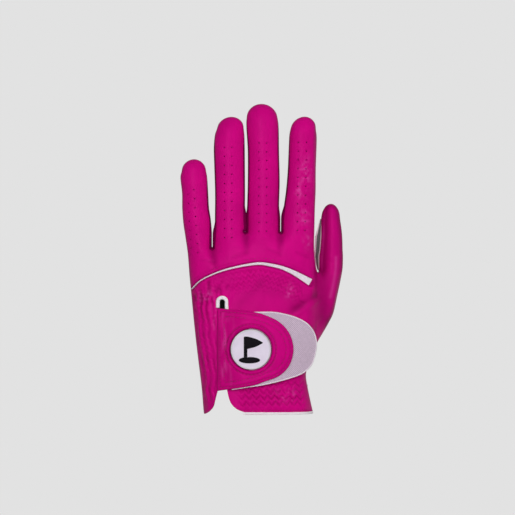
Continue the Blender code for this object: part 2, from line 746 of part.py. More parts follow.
def build_leather(shape, looks, pivots):
    loop = sheet_outline(EDGE_STEP)
    extra = np.concatenate([ring_points(loop, [0.5, 2.4]), grid_points(loop, GRID_STEP, 4.6)])
    pink, white = looks["pink_leather"], looks["white_trim"]

    def panel(name, flat, triangles, side, look, body, thickness=LEATHER, lift=0.0):
        pivot = pivots.get(body, (0.0, 0.0, 0.0))
        leather_shell(name, shape, flat, triangles, side, look, thickness, lift, pivot)

    # Back of the hand
    trim, up = trim_edges()
    half = trim[:, 2:3]
    gap = SEAM_GAP
    high_line = trim[:, :2] + up * (half + gap)
    trim_top = trim[:, :2] + up * half
    trim_bottom = trim[:, :2] - up * half
    low_line = trim[:, :2] - up * (half + gap)
    end = trim[-1, :2]
    beyond = end + np.array([gap, -gap])
    half_gap = np.array([0.0, gap / 2])
    tail_high = dense_line([tuple(beyond + half_gap), tuple(np.array(TRIM_SEAM_END) + half_gap)])
    tail_low = dense_line([tuple(beyond - half_gap), tuple(np.array(TRIM_SEAM_END) - half_gap)])
    high_line = np.concatenate([high_line, [high_line[-1] + (0.25, -0.12)], tail_high])
    low_line = np.concatenate([low_line, [low_line[-1] + (0.25, -0.12)], tail_low])
    trim_loop = np.concatenate([trim_top, trim_bottom[::-1]])
    band_loop = np.concatenate([high_line, low_line[::-1]])
    opening = slit_opening()
    binding_outer = slit_loop(SLIT_HALF + BINDING_WIDTH, BINDING_FOOT)
    binding_inner = slit_loop(SLIT_HALF, BINDING_FOOT - 1.0)
    hem_line = [(CUFF_CORNER[-1][0], HEM_WIDTH), (40.0, HEM_WIDTH)]
    hem_top = [(CUFF_CORNER[-1][0], HEM_WIDTH + gap), (40.0, HEM_WIDTH + gap)]
    lines = hinge_lines(BACK_GAP, BACK_GAP) + [seam_line(-gap / 2), seam_line(gap / 2)]
    lines += [high_line, low_line, dense_line(hem_line), dense_line(hem_top)]
    closed = [opening, trim_loop, binding_outer, binding_inner]
    lines += [np.concatenate([c, c[:1]]) for c in closed]
    flat, triangles = triangulate([loop], lines, extra)
    parts, middles = zone_parts(flat, triangles, BACK_GAP, BACK_GAP, gap / 2, gap / 2)
    for name in ("little", "ring", "middle", "index"):
        panel(f"{name}_back", flat, triangles[parts[name]], -1, pink, name)
    panel("thumb_back", flat, triangles[parts["thumb"]], -1, pink, "thumb")
    in_band = inside(band_loop, middles)
    seam_x = np.append(trim[:, 0], TRIM_SEAM_END[0])
    seam_z = np.append(trim[:, 1], TRIM_SEAM_END[1])
    trim_line_z = np.interp(middles[:, 0], seam_x, seam_z)
    above = middles[:, 1] > trim_line_z
    cut = inside(opening, middles)
    hem = (middles[:, 1] < HEM_WIDTH) & (middles[:, 0] > CUFF_CORNER[-1][0])
    hem_gap = (middles[:, 1] < HEM_WIDTH + gap) & (middles[:, 0] > CUFF_CORNER[-1][0] - 0.01)
    hand = parts["hand"]
    panel("knuckle_panel", flat, triangles[hand & above & ~in_band], -1, pink, "hand")
    below = hand & ~above & ~in_band & ~cut & ~hem_gap
    panel("back_panel", flat, triangles[below], -1, pink, "hand")
    panel("knuckle_trim", flat, triangles[hand & inside(trim_loop, middles)], -1, white, "hand")
    band = inside(binding_outer, middles) & ~inside(binding_inner, middles)
    panel("slit_binding", flat, triangles[band], -1, white, "hand")
    panel("cuff_hem", flat, triangles[hand & hem & ~cut], -1, white, "hand")

    # Palm of the hand
    hem_x = np.linspace(-48.0, 40.0, 23)
    lines = hinge_lines(PALM_HAND_GAP, PALM_FINGER_GAP)
    for rise in (0.0, PALM_HEM_WIDTH, PALM_HEM_WIDTH + gap):
        lines.append(np.stack([hem_x, palm_hem_z(hem_x) + rise], axis=1))
    lines += [seam_line(-THUMB_HAND_GAP), seam_line(THUMB_FINGER_GAP)]
    thumb_cut_z = THUMB_CROTCH[1] + CROTCH_RISE
    seam_top_x = THUMB_SEAM[1][0] + THUMB_FINGER_GAP
    lines.append(dense_line([(THUMB_CROTCH[0] - 0.6, thumb_cut_z), (seam_top_x + 2.0, thumb_cut_z)]))
    flat, triangles = triangulate([loop], lines, extra)
    parts, middles = zone_parts(
        flat, triangles, PALM_HAND_GAP, PALM_FINGER_GAP, THUMB_HAND_GAP, THUMB_FINGER_GAP
    )
    for name in ("little", "ring", "middle", "index"):
        panel(f"{name}_palm", flat, triangles[parts[name]], 1, pink, name)
    panel("thumb_palm", flat, triangles[parts["thumb"]], 1, pink, "thumb")
    rise = middles[:, 1] - palm_hem_z(middles[:, 0])
    palm = parts["hand"] & (rise > PALM_HEM_WIDTH + gap)
    panel("palm_panel", flat, triangles[palm], 1, pink, "hand")
    palm_hem = parts["hand"] & (rise > 0) & (rise < PALM_HEM_WIDTH)
    panel("palm_hem", flat, triangles[palm_hem], 1, white, "hand")


def build_fourchettes(shape, looks, pivots):
    """The narrow side walls of the fingers, and the pale one that bulges between thumb and index."""
    loop = glove_outline(EDGE_STEP)
    normals = inward_normals(loop)
    wide = loop[:, 2] > 0.12
    thumb_side = on_thumb(loop[:, :2])
    for name in ("little", "ring", "middle", "index"):
        finger = FINGERS[name]
        centre = finger["stations"][2][1]
        low = finger["hinge_z"] + FOURCHETTE_START
        for side in finger["fourchettes"]:
            sign = -1.0 if side == "left" else 1.0
            rows = (finger_of(loop) == name) & (np.sign(loop[:, 0] - centre) == sign)
            rows &= ~thumb_side & wide & (loop[:, 1] > low)
            spots, faces = fourchette_mesh(shape, loop[rows], normals[rows], 0.0)
            single = len(finger["fourchettes"]) == 1
            title = f"{name}_fourchette" if single else f"{name}_fourchette_{side}"
            add_object(title, spots, faces, looks["pink_leather"], pivots[name])
    rows = thumb_side & wide & (loop[:, 1] > THUMB_CROTCH[1] + 2.5) & (loop[:, 0] < 43.0)
    spots, faces = fourchette_mesh(shape, loop[rows], normals[rows], GUSSET_BULGE)
    add_object("thumb_gusset", spots, faces, looks["grey_mesh"], pivots["thumb"])


def fourchette_mesh(shape, rows, normals, bulge):
    """A strip along rows of the outline, as high as the drawn-in panels leave room for."""
    order = np.argsort(rows[:, 1])
    rows, normals = rows[order], normals[order]
    levels = np.linspace(-1.0, 1.0, 5)
    outer = []
    inner = []
    low, high = rows[0, 1], rows[-1, 1]
    for (x, z, share), inward in zip(rows, normals):
        edge = np.array([[x, z]]) + inward * FOURCHETTE_INSET * share
        height, _ = shape.sample(edge)
        reach = math.sqrt(float(height[0])) - SEAM_GAP
        middle = float(shape.middle(edge)[0])
        rise = bulge * math.sin(math.pi * (z - low) / (high - low))
        for level in levels:
            inset = FOURCHETTE_INSET * share * level**2 - rise * (1.0 - level**2)
            spot = np.array([x, z]) + inward * inset
            tilt = (1.2 + 0.5 * rise) * level
            normal = np.array([-inward[0], tilt, -inward[1]]) / math.hypot(1.0, tilt)
            outer.append((spot[0], middle + reach * level, spot[1]))
            inner.append(tuple(np.array(outer[-1]) - normal * TAPE))
    across = len(levels)
    triangles = []
    for i in range(len(rows) - 1):
        for j in range(across - 1):
            a, b = i * across + j, i * across + j + 1
            c, d = a + across, b + across
            triangles += [(a, b, d), (a, d, c)]
    faces = shell_faces(triangles, len(outer), False)
    return np.array(outer + inner), faces


def patch(loop, step=GRID_STEP, holes=()):
    loop = np.array(loop, float)
    return triangulate([loop, *holes], [], grid_points(loop, step, step * 0.45))


def build_elastics(shape, looks):
    """Elastic tapes sewn inside the gathered stretches of the back."""
    sink = -(LEATHER + 3 * SEAM_GAP)
    xs = np.linspace(KNUCKLE_TAPE_X[0], KNUCKLE_TAPE_X[1], 10)
    crest = np.interp(xs, [x for x, _ in TRIM], [z for _, z in TRIM])
    upper = np.stack([xs, crest - KNUCKLE_TAPE_BELOW[0]], axis=1)
    lower = np.stack([xs, crest - KNUCKLE_TAPE_BELOW[1]], axis=1)
    outlines = {
        "knuckle_elastic": np.concatenate([upper, lower[::-1]]),
        "side_elastic": dense_line(SIDE_TAPE + SIDE_TAPE[:1])[:-1],
        "cuff_elastic": dense_line(CUFF_TAPE + CUFF_TAPE[:1])[:-1],
    }
    for name, outline in outlines.items():
        flat, triangles = patch(outline)
        leather_shell(name, shape, flat, triangles, -1, looks["elastic"], TAPE, sink, (0, 0, 0))


# ---------------------------------------------------------------- tab and ball marker


class TabSurface:
    """The surface that the tab lies on: the back of the glove, flat under the marker, and with a
    slow bend of its own past the wrist's edge."""

    def __init__(self, shape):
        self.shape = shape
        under_marker = circle(MARKER_CENTRE, POCKET_RADIUS, 16)
        self.flat_y = float(shape.surface(under_marker, -1)[0][:, 1].min())

    def __call__(self, points):
        held = points.copy()
        held[:, 0] = np.minimum(points[:, 0], TAB_BEND_X)
        y = self.shape.surface(held, -1)[0][:, 1]
        step = 1.0
        before = held - np.array([step, 0.0])
        slope = (y - self.shape.surface(before, -1)[0][:, 1]) / step
        past = np.maximum(points[:, 0] - TAB_BEND_X, 0.0)
        y = y + np.clip(slope, 0.0, 0.3) * past + TAB_BEND * past**2
        radius = np.linalg.norm(points - np.array(MARKER_CENTRE), axis=1)
        share = smoothstep(24.0, 15.0, radius)
        return np.minimum(y, y * (1 - share) + self.flat_y * share)


def circle(centre, radius, segments=ROUND_SEGMENTS):
    turns = np.arange(segments) * (2 * math.pi / segments)
    return np.stack([centre[0] + radius * np.cos(turns), centre[1] - radius * np.sin(turns)], axis=1)


def tab_loop():
    curve = spline([(TAB_LEFT, 66.2)] + TAB_RIGHT_CURVE + [(TAB_LEFT, 14.7)], EDGE_STEP)
    edge = dense_line([(TAB_LEFT, 14.7), (TAB_LEFT, 66.2)])[1:-1]
    return np.concatenate([curve, edge])


def backing_loop():
    left = dense_line([BACKING_CURVE[-1], BACKING_CURVE[0]])[1:-1]
    return np.concatenate([spline(BACKING_CURVE, EDGE_STEP), left])


def leather_lift(points):
    """The tab's leather lies on the glove at its sewn edge and rises over the hook and loop."""
    return 0.4 + 3.2 * smoothstep(-24.0, -9.0, points[:, 0])


def level(value):
    return lambda points: np.full(len(points), value)


def build_tab(shape, looks, pivots):
    surface = TabSurface(shape)
    pivot = pivots["tab"]

    def plain_layer(name, outline, heights, look, origin):
        flat, triangles = patch(outline)
        low, high = heights
        flat_layer(name, surface, flat, triangles, level(low), level(high), looks[look], origin)

    plain_layer("loop_patch", spline(LOOP_CURVE, EDGE_STEP, True), LOOP_LAYER, "loop_fabric", (0, 0, 0))
    plain_layer("hook_patch", spline(HOOK_CURVE, EDGE_STEP, True), HOOK_LAYER, "hook_plastic", pivot)
    plain_layer("tab_backing", backing_loop(), BACKING_LAYER, "grey_mesh", pivot)
    loop = tab_loop()
    pocket = circle(MARKER_CENTRE, POCKET_RADIUS)
    points = np.concatenate([grid_points(loop, GRID_STEP, 2.5), circle(MARKER_CENTRE, 15.5)])
    away = np.linalg.norm(points - np.array(MARKER_CENTRE), axis=1) > POCKET_RADIUS + 1.5
    flat, triangles = triangulate([loop, pocket], [], points[away])
    flat_layer(
        "tab_leather",
        surface,
        flat,
        triangles,
        leather_lift,
        lambda p: leather_lift(p) + TAB_LEATHER,
        looks["pink_leather"],
        pivot,
    )
    back, front = (surface.flat_y - height for height in SOCKET_LAYER)
    socket = ring_plate(POCKET_RADIUS - SEAM_GAP, MAGNET_RADIUS + SEAM_GAP, back, front)
    add_object("marker_socket", *socket, looks["socket_plastic"], pivot)
    add_object("magnet", *turned_disc(MAGNET_RADIUS, back, front, 0.15), looks["magnet_steel"], pivot)
    base = surface.flat_y - MARKER_BASE
    face = base - MARKER_THICKNESS
    marker = turned_disc(MARKER_RADIUS, base, face, 0.35)
    add_object("ball_marker", *marker, looks["white_enamel"], pivots["marker"])
    build_emblem(face - EMBLEM_RISE, looks["black_enamel"], pivots["marker"])


def turned_disc(radius, y_back, y_front, edge):
    """A disc about the marker's axis with a bevelled front and back edge."""
    side = [(radius, y_back - edge), (radius, y_front + edge)]
    profile = [(radius - edge, y_back), *side, (radius - edge, y_front)]
    spots = []
    for reach, y in profile:
        spots += [(x, y, z) for x, z in circle(MARKER_CENTRE, reach)]
    n = ROUND_SEGMENTS
    faces = [tuple(range(n)), tuple(reversed(range(3 * n, 4 * n)))]
    for row in range(3):
        for i in range(n):
            j = (i + 1) % n
            faces.append((row * n + i, (row + 1) * n + i, (row + 1) * n + j, row * n + j))
    return np.array(spots), faces


def ring_plate(outer, inner, y_back, y_front):
    """A flat ring about the marker's axis."""
    spots = []
    for reach, y in ((outer, y_back), (outer, y_front), (inner, y_front), (inner, y_back)):
        spots += [(x, y, z) for x, z in circle(MARKER_CENTRE, reach)]
    n = ROUND_SEGMENTS
    faces = []
    for row in range(4):
        for i in range(n):
            j = (i + 1) % n
            other = (row + 1) % 4
            faces.append((row * n + i, other * n + i, other * n + j, row * n + j))
    return np.array(spots), faces


def emblem_loop():
    """A plain golf flag on its pole, which stands on a small oval green."""
    x, z = MARKER_CENTRE
    left, right = x + POLE_SIDES[0], x + POLE_SIDES[1]
    pole_bottom = z + GREEN_CENTRE[1] + GREEN_RADII[1] - 0.3
    loop = [(left, pole_bottom), (left, z + POLE_TOP), (right, z + POLE_TOP)]
    loop += [(x + across, z + up) for across, up in PENNANT]
    loop += [(right, z + PENNANT_BOTTOM), (right, pole_bottom)]
    for degrees in range(90, -260, -15):
        turn = math.radians(degrees)
        across = GREEN_CENTRE[0] + GREEN_RADII[0] * math.cos(turn)
        up = GREEN_CENTRE[1] + GREEN_RADII[1] * math.sin(turn)
        under_pole = POLE_SIDES[0] < across < POLE_SIDES[1] and up > GREEN_CENTRE[1]
        if not under_pole:
            loop.append((x + across, z + up))
    return np.array(loop)


def build_emblem(y_back, look, pivot):
    flat, triangles = triangulate([emblem_loop()], [], [])
    flat, triangles = compact(flat, triangles)
    triangles = counter_clockwise(flat, triangles)
    front = np.stack([flat[:, 0], np.full(len(flat), y_back - EMBLEM_THICKNESS), flat[:, 1]], axis=1)
    back = np.stack([flat[:, 0], np.full(len(flat), y_back), flat[:, 1]], axis=1)
    faces = shell_faces(triangles, len(flat), False)
    add_object("marker_emblem", np.concatenate([front, back]), faces, look, pivot)


# ---------------------------------------------------------------- assembly


def joint_pivots(shape):
    """The point on each joint's axis, in mm."""
    pivots = {}
    for name in ("little", "ring", "middle", "index"):
        finger = FINGERS[name]
        pivots[name] = (finger["stations"][0][1], 0.0, finger["hinge_z"])
    start, end = (np.array(p) for p in THUMB_SEAM)
    middle = (start + end) / 2
    pivots["thumb"] = (float(middle[0]), float(shape.middle(middle[None])[0]), float(middle[1]))
    hinge = np.array([[TAB_LEFT, z] for z in (16.0, 40.0, 64.0)])
    outermost = float(shape.surface(hinge, -1)[0][:, 1].min())
    pivots["tab"] = (TAB_LEFT - 0.2, outermost - 1.6, 40.0)
    pivots["marker"] = (MARKER_CENTRE[0], outermost, MARKER_CENTRE[1])
    return pivots


def main():
    clear_scene()
    looks = {
        "pink_leather": material("pink_leather", PINK, 0.42),
        "white_trim": material("white_trim", WHITE, 0.6),
        "grey_mesh": material("grey_mesh", LILAC_GREY, 0.85),
        "loop_fabric": material("loop_fabric", PINK, 0.95),
        "hook_plastic": material("hook_plastic", WHITE, 0.7),
        "elastic": material("elastic", WHITE, 0.9),
        "socket_plastic": material("socket_plastic", DARK_PLASTIC, 0.5),
        "magnet_steel": material("magnet_steel", STEEL, 0.35, 1.0),
        "white_enamel": material("white_enamel", WHITE, 0.2),
        "black_enamel": material("black_enamel", BLACK, 0.25),
    }
    shape = FilledShape()
    pivots = joint_pivots(shape)
    build_leather(shape, looks, pivots)
    build_fourchettes(shape, looks, pivots)
    build_elastics(shape, looks)
    build_tab(shape, looks, pivots)
    for name, pivot in pivots.items():
        print("pivot", name, [round(v * MM, 5) for v in pivot])


main()
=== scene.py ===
"""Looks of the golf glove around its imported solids: leather skins, trims, tab, ball marker and light.

Outlines and heights are in millimetres, in the part's frame: +Z to the fingertips, -Y out of the back
of the hand, +Y out of the palm and +X to the thumb. Every mesh is written in metres.
"""

import math

import bpy
import numpy as np
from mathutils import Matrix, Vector, noise
from mathutils.bvhtree import BVHTree
from mathutils.geometry import delaunay_2d_cdt
from mathutils.kdtree import KDTree


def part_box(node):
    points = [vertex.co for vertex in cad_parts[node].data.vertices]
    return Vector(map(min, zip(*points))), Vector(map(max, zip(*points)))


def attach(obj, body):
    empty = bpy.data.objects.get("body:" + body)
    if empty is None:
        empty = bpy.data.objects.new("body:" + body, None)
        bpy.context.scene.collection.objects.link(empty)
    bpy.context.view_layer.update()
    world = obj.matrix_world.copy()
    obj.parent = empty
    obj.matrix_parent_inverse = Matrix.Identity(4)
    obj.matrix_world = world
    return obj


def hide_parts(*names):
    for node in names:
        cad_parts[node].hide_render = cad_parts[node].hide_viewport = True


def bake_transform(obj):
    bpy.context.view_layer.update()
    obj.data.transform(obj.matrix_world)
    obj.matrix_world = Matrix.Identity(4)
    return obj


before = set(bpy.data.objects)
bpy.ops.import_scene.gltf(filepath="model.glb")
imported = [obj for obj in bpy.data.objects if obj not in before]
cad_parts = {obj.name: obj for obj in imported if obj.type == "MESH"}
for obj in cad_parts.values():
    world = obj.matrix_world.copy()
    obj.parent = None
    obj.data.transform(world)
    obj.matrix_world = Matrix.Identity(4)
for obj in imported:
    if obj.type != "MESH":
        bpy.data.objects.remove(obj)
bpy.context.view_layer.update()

MM = 0.001
TURN = 2 * math.pi

# ---------------------------------------------------------------- the glove's outline, as in the solids

# Each finger's stations from its root to its tip, as (z, x, half width), its tip, the z of its hinge and
# the sides on which it has a fourchette
FINGERS = {
    "little": {
        "stations": [(119.4, -38.4, 8.7), (128.8, -39.4, 8.4), (138.1, -39.7, 8.2), (147.5, -40.5, 8.4),
                     (151.2, -40.5, 7.8)],
        "tip": (-40.4, 159.4), "hinge_z": 103.6, "fourchettes": ("right",),
    },
    "ring": {
        "stations": [(115.5, -17.8, 9.6), (124.4, -17.9, 9.4), (138.1, -17.8, 9.4), (155.0, -18.1, 9.6),
                     (166.0, -18.3, 9.7), (174.0, -18.1, 9.3), (178.0, -17.7, 8.5)],
        "tip": (-16.9, 186.0), "hinge_z": 113.7, "fourchettes": ("left", "right"),
    },
    "middle": {
        "stations": [(115.5, 3.0, 10.2), (128.8, 2.9, 10.0), (145.6, 3.3, 10.0), (164.4, 3.1, 9.8),
                     (178.0, 2.6, 10.1), (184.5, 2.3, 9.8)],
        "tip": (1.9, 194.1), "hinge_z": 113.7, "fourchettes": ("left", "right"),
    },
    "index": {
        "stations": [(115.5, 24.9, 10.2), (121.2, 25.1, 10.1), (128.8, 25.6, 9.8), (140.0, 26.6, 9.3),
                     (153.1, 27.2, 8.8), (171.9, 27.9, 8.7), (177.5, 28.0, 8.1)],
        "tip": (28.9, 186.1), "hinge_z": 113.7, "fourchettes": ("left",),
    },
    "thumb": {
        "stations": [(98.0, 45.2, 8.0), (102.5, 45.4, 7.6), (110.0, 45.6, 7.2), (115.6, 45.6, 6.7),
                     (121.2, 45.4, 6.1)],
        "tip": (45.6, 131.6), "fourchettes": ("left",),
    },
}
FINGER_NAMES = ("little", "ring", "middle", "index")
CROTCHES = [(-29.0, 103.1), (-8.1, 113.1), (13.9, 113.1)]
THUMB_CROTCH = (37.4, 88.4)
LEFT_EDGE = [(-34.2, 0.0), (-34.7, 5.0), (-35.3, 13.0), (-36.1, 20.5), (-38.3, 38.0), (-40.3, 56.0),
             (-42.2, 76.0), (-43.2, 86.0), (-44.3, 100.0), (-45.7, 110.0)]
INDEX_EDGE = [(34.9, 106.0), (35.2, 98.5), (36.0, 92.5)]
THUMB_EDGE = [(52.9, 90.5), (51.6, 83.2), (49.6, 73.8), (47.2, 63.1), (44.0, 56.4), (40.3, 50.0),
              (36.6, 43.8), (33.0, 35.5), (30.2, 27.0), (29.9, 22.0), (31.2, 14.5), (32.8, 7.0),
              (34.4, 0.0)]
THUMB_SEAM = np.array([(36.4, 43.0), (38.3, 88.4)])
# How full the glove is: the swelling's reach in from the outline, its scale and the wrist's own share
SWELL_LENGTH = 11.0
SWELL_SCALE = 1.23
WRIST_SWELL = 1.16
# The thumb lies this much further towards the palm. The shift runs between two x, which change from
# DROP_LOW to DROP_HIGH over the z of DROP_TURN
THUMB_DROP = 7.0
DROP_LOW = (28.0, 43.0)
DROP_HIGH = (34.6, 38.4)
DROP_TURN = (52.0, 92.0)
# The walls between back and palm. GUSSET_REACH gives at each z how far the thumb's gusset stands out
FOURCHETTE_INSET = 1.0
WEB_REACH = 1.6
WEB_HEIGHT = 18.0
GUSSET_REACH = [(88.0, 0.0), (91.0, 1.0), (98.5, 2.9), (105.0, 3.3), (110.6, 3.5), (114.4, 2.5),
                (120.0, 1.1), (126.0, 0.0)]
GUSSET_LEVELS = 13
# GUSSET_BAND is the band across the gusset that is painted as shade
GUSSET_BAND = (-0.6, 0.12)
WALL_LEAN = 1.2
WALL_THICKNESS = 0.6
SEAM_GAP = 0.3

# The knuckle trim's middle and its half width
TRIM = [(-44.0, 76.6, 0.3), (-41.6, 78.3, 0.3), (-36.2, 83.4, 0.33), (-26.6, 88.1, 0.42),
        (-15.4, 91.5, 0.55), (-0.8, 94.0, 0.75), (7.6, 93.1, 0.9), (15.4, 91.2, 1.05),
        (23.2, 87.7, 1.45), (32.4, 82.4, 2.15)]
TRIM_RIGHT = 34.5
# How far the stitched rows run from the trim's upper edge and from the cuff's lower edge
TRIM_STITCHES = 2.6
HEM_STITCHES = 2.6
# The keyhole slit at the wrist, its binding and the rounded corners below it
SLIT_X = -22.6
SLIT_TOP = 72.3
SLIT_HALF = 2.2
SLIT_ALLOWANCE = 0.6
BINDING_MIDDLE = SLIT_HALF + 0.55
BINDING_HALF = 1.15
BINDING_FOOT = 20.0
BINDING_LEFT_FOOT = 66.4
TAIL_CORNER = [(-25.7, 14.4), (-26.9, 10.8), (-28.0, 5.6), (-30.4, 2.2), (-33.7, 0.0)]
CUFF_CORNER = [(-19.4, 14.4), (-17.3, 7.4), (-13.4, 3.4), (-8.0, 1.35)]
PALM_HEM_HALF = 0.95
HEM_OVERLAP = 0.5
# Lines in the leather round the thumb, and the x of the index finger's side
FOLD = ((38.6, 73.5), (21.0, 62.0))
# THUMB_RIDGE is where a highlight is painted along the thumb
THUMB_RIDGE = [(48.4, 98.0), (48.2, 90.0), (46.6, 81.0), (44.8, 73.0)]
THUMB_VALLEY = ((38.6, 86.0), (37.6, 46.0))
INDEX_SIDE = 36.8
# Outlines of two of the elastic tapes
SIDE_ELASTIC = [(-29.0, 24.0), (-32.0, 24.0), (-34.0, 50.0), (-35.5, 74.0), (-29.0, 74.0)]
CUFF_ELASTIC = [(-12.0, 6.0), (-14.0, 16.0), (26.0, 16.0), (27.5, 6.0)]
# The columns of air holes: the highest, the lowest and their number
HOLE_COLUMNS = [
    ((-40.3, 140.1), (-38.0, 100.9), 8), ((-44.2, 137.3), (-42.4, 103.7), 7),
    ((-21.4, 166.6), (-21.2, 110.3), 11), ((-16.6, 166.6), (-16.6, 110.3), 11),
    ((0.2, 169.3), (0.2, 114.3), 11), ((5.2, 169.3), (5.2, 114.3), 11),
    ((24.9, 169.8), (24.2, 114.7), 11), ((30.1, 169.8), (29.1, 114.7), 11),
]
# Soft wrinkles in the back's leather: start, end, height, width and, for one, where it fades in
BACK_RIDGES = [
    ((33.0, 70.0), (30.0, 55.0), 0.5, 4.5),
    ((-13.0, 86.0), (-19.0, 69.0), 0.28, 1.1, (-0.2, 0.4)),
    ((-8.0, 101.0), (-16.0, 98.0), -0.22, 1.2),
    ((6.0, 103.0), (14.0, 99.5), -0.2, 1.2),
    ((24.0, 101.0), (31.0, 98.0), -0.25, 1.2),
    ((-36.0, 96.0), (-28.0, 95.0), -0.2, 1.2),
    ((42.5, 96.0), (48.0, 94.0), -0.25, 1.2),
    ((41.5, 66.0), (46.0, 63.0), -0.3, 1.2),
    ((40.5, 59.0), (36.0, 53.0), -0.3, 1.2),
    ((28.0, 66.0), (33.0, 60.5), -0.25, 1.2),
]
# Stretches of painted shade on the back's leather: start, end, strength and width
BACK_SHADES = [((-12.0, 68.0), (3.0, 84.0), 0.17, 2.6), ((2.0, 80.0), (22.0, 71.0), 0.12, 3.0)]
# Paler patches on the back: x, z, width and height
PALE_SPOTS = [
    (29.5, 151.0, 3.4, 9.0), (25.5, 139.0, 2.4, 5.0), (28.5, 123.0, 3.4, 6.0), (19.5, 76.5, 2.6, 4.2),
    (30.5, 108.0, 2.5, 4.0), (-27.5, 62.0, 1.4, 8.0), (17.0, 12.5, 6.0, 3.6), (-33.0, 74.0, 4.0, 4.5),
]
# Creases of the palm side: (rise above the hinge, depth) on every finger, and three across the palm
KNUCKLE_LINES = ((1.0, 0.55), (26.0, 0.4), (47.0, 0.35))
PALM_LINES = (((34.0, 88.0), (-30.0, 80.0)), ((30.0, 84.0), (4.0, 30.0)), ((-32.0, 92.0), (20.0, 96.0)))

TAB_LEFT = -25.6
TAB_TOP = 66.2
TAB_FOOT = 14.7
TAB_RIGHT_CURVE = [(-5.1, 64.3), (4.5, 61.9), (13.4, 57.4), (19.4, 50.3), (21.8, 40.7), (19.4, 31.1),
                   (13.4, 24.6), (4.5, 21.0), (-5.1, 18.0)]
BACKING_CURVE = [(-6.0, 63.6), (8.1, 63.8), (16.4, 62.5), (24.2, 60.1), (30.8, 56.2), (35.0, 50.2),
                 (36.2, 42.5), (33.8, 32.3), (28.4, 26.4), (19.4, 22.8), (4.5, 19.1), (-6.0, 17.5),
                 (-17.0, 15.7)]
# The tab's lift over the backing, its stitched rows and the padding between them, inside its edge, and
# the rings round the marker's window
TAB_RISE = 3.2
TAB_ROWS = (1.7, 4.6)
TAB_PUFF = 3.1
TAB_RING = 15.7
WINDOW_RADIUS = 13.0
WINDOW_RINGS = (13.2, 13.6, 14.1, 14.6, 15.1, 15.6, 16.1, 16.6, 17.2)
# The two halves of the closure
HOOK_OUTLINE = [(6.0, 52.0), (13.0, 50.0), (17.5, 44.0), (17.5, 36.0), (13.0, 31.0), (6.0, 29.0)]
PILE_OUTLINE = [(0.0, 54.0), (14.0, 54.5), (21.0, 48.0), (22.5, 40.0), (20.0, 31.0), (13.0, 26.5),
                (0.0, 27.0)]
# Past this x the tab bends towards the palm, round the hand
TAB_BEND_X = 20.0
TAB_BEND = 0.012
MARKER_CENTRE = np.array([-4.7, 40.75])
MARKER_RADIUS = 12.5
MARKER_THICKNESS = 1.5

# Mesh sizes, the leather's thickness, and where each finger's and the thumb's skin starts beside its joint
FIELD_STEP = 1.5
EDGE_STEP = 0.9
GRID_STEP = 0.95
FINE_STEP = 0.5
GRID_MARGIN = 3.2
EDGE_RINGS = (0.05, 0.2, 0.45, 0.8, 1.25, 1.9, 2.7)
EDGE_FADE = 2.2
LEATHER = 0.7
BLEND_BELOW = 3.0
THUMB_BLEND = (-1.0, 9.0)
HOLE_RADIUS = 0.36
ROUND_SEGMENTS = 120


# ---------------------------------------------------------------- plane geometry


def smoothstep(low, high, value):
    t = np.clip((value - low) / (high - low), 0.0, 1.0)
    return t * t * (3.0 - 2.0 * t)


def window(value, rise_low, rise_high, fall_low, fall_high):
    """1 between the rise and the fall, and 0 outside them."""
    return smoothstep(rise_low, rise_high, value) * smoothstep(fall_high, fall_low, value)


def bell(distance, width):
    """1 at no distance, which falls off over a width."""
    return np.exp(-((distance / width) ** 2))


def unit(vectors):
    return vectors / np.maximum(np.linalg.norm(vectors, axis=1), 1e-12)[:, None]


def with_y(points, y):
    """Points in space from points in the X-Z plane and their y, which may be one number."""
    return np.column_stack([points[:, 0], np.broadcast_to(y, len(points)), points[:, 1]])


def spline(points, step, closed=False):
    """Catmull-Rom curve through the points, with a point about every step."""
    control = np.array(points, float)
    count = len(control)
    curve = []
    for i in range(count if closed else count - 1):
        if closed:
            a, b, c, d = (control[(i + k) % count] for k in (-1, 0, 1, 2))
        else:
            a, b, c, d = (control[min(max(i + k, 0), count - 1)] for k in (-1, 0, 1, 2))
        pieces = max(1, math.ceil(float(np.linalg.norm((c - b)[:2])) / step))
        for k in range(pieces):
            t = k / pieces
            curve.append(0.5 * (2 * b + (c - a) * t + (2 * a - 5 * b + 4 * c - d) * t**2)
                         + 0.5 * (3 * b - a - 3 * c + d) * t**3)
    if not closed:
        curve.append(control[-1])
    return np.array(curve)


def dense_line(points, step=EDGE_STEP):
    """Straight runs through the points, with a point about every step."""
    line = [np.array(points[0], float)]
    for start, end in zip(points[:-1], points[1:]):
        start, end = np.array(start, float), np.array(end, float)
        pieces = max(1, math.ceil(float(np.linalg.norm(end - start)) / step))
        line += [start + (end - start) * k / pieces for k in range(1, pieces + 1)]
    return np.array(line)


def circle(centre, radius, segments):
    turns = np.arange(segments) * (2 * math.pi / segments)
    return np.stack([centre[0] + radius * np.cos(turns), centre[1] - radius * np.sin(turns)], axis=1)


def finger_outline(name):
    """From a finger's left root round its tip to its right root: x, z and the side walls' share."""
    finger = FINGERS[name]
    tip_x, tip_z = finger["tip"]
    last_z, last_x, last_half = finger["stations"][-1]

    def share(side, z):
        return float(smoothstep(tip_z - 8.0, tip_z - 22.0, z)) if side in finger["fourchettes"] else 0.0

    up = [(x - half, z, share("left", z)) for z, x, half in finger["stations"]]
    down = [(x + half, z, share("right", z)) for z, x, half in finger["stations"]]
    tip = []
    for degrees in (150, 120, 90, 60, 30):
        turn = math.radians(degrees)
        x = last_x + (tip_x - last_x) * math.sin(turn) + last_half * math.cos(turn)
        tip.append((x, last_z + (tip_z - last_z) * math.sin(turn), 0.0))
    return up + tip + down[::-1]


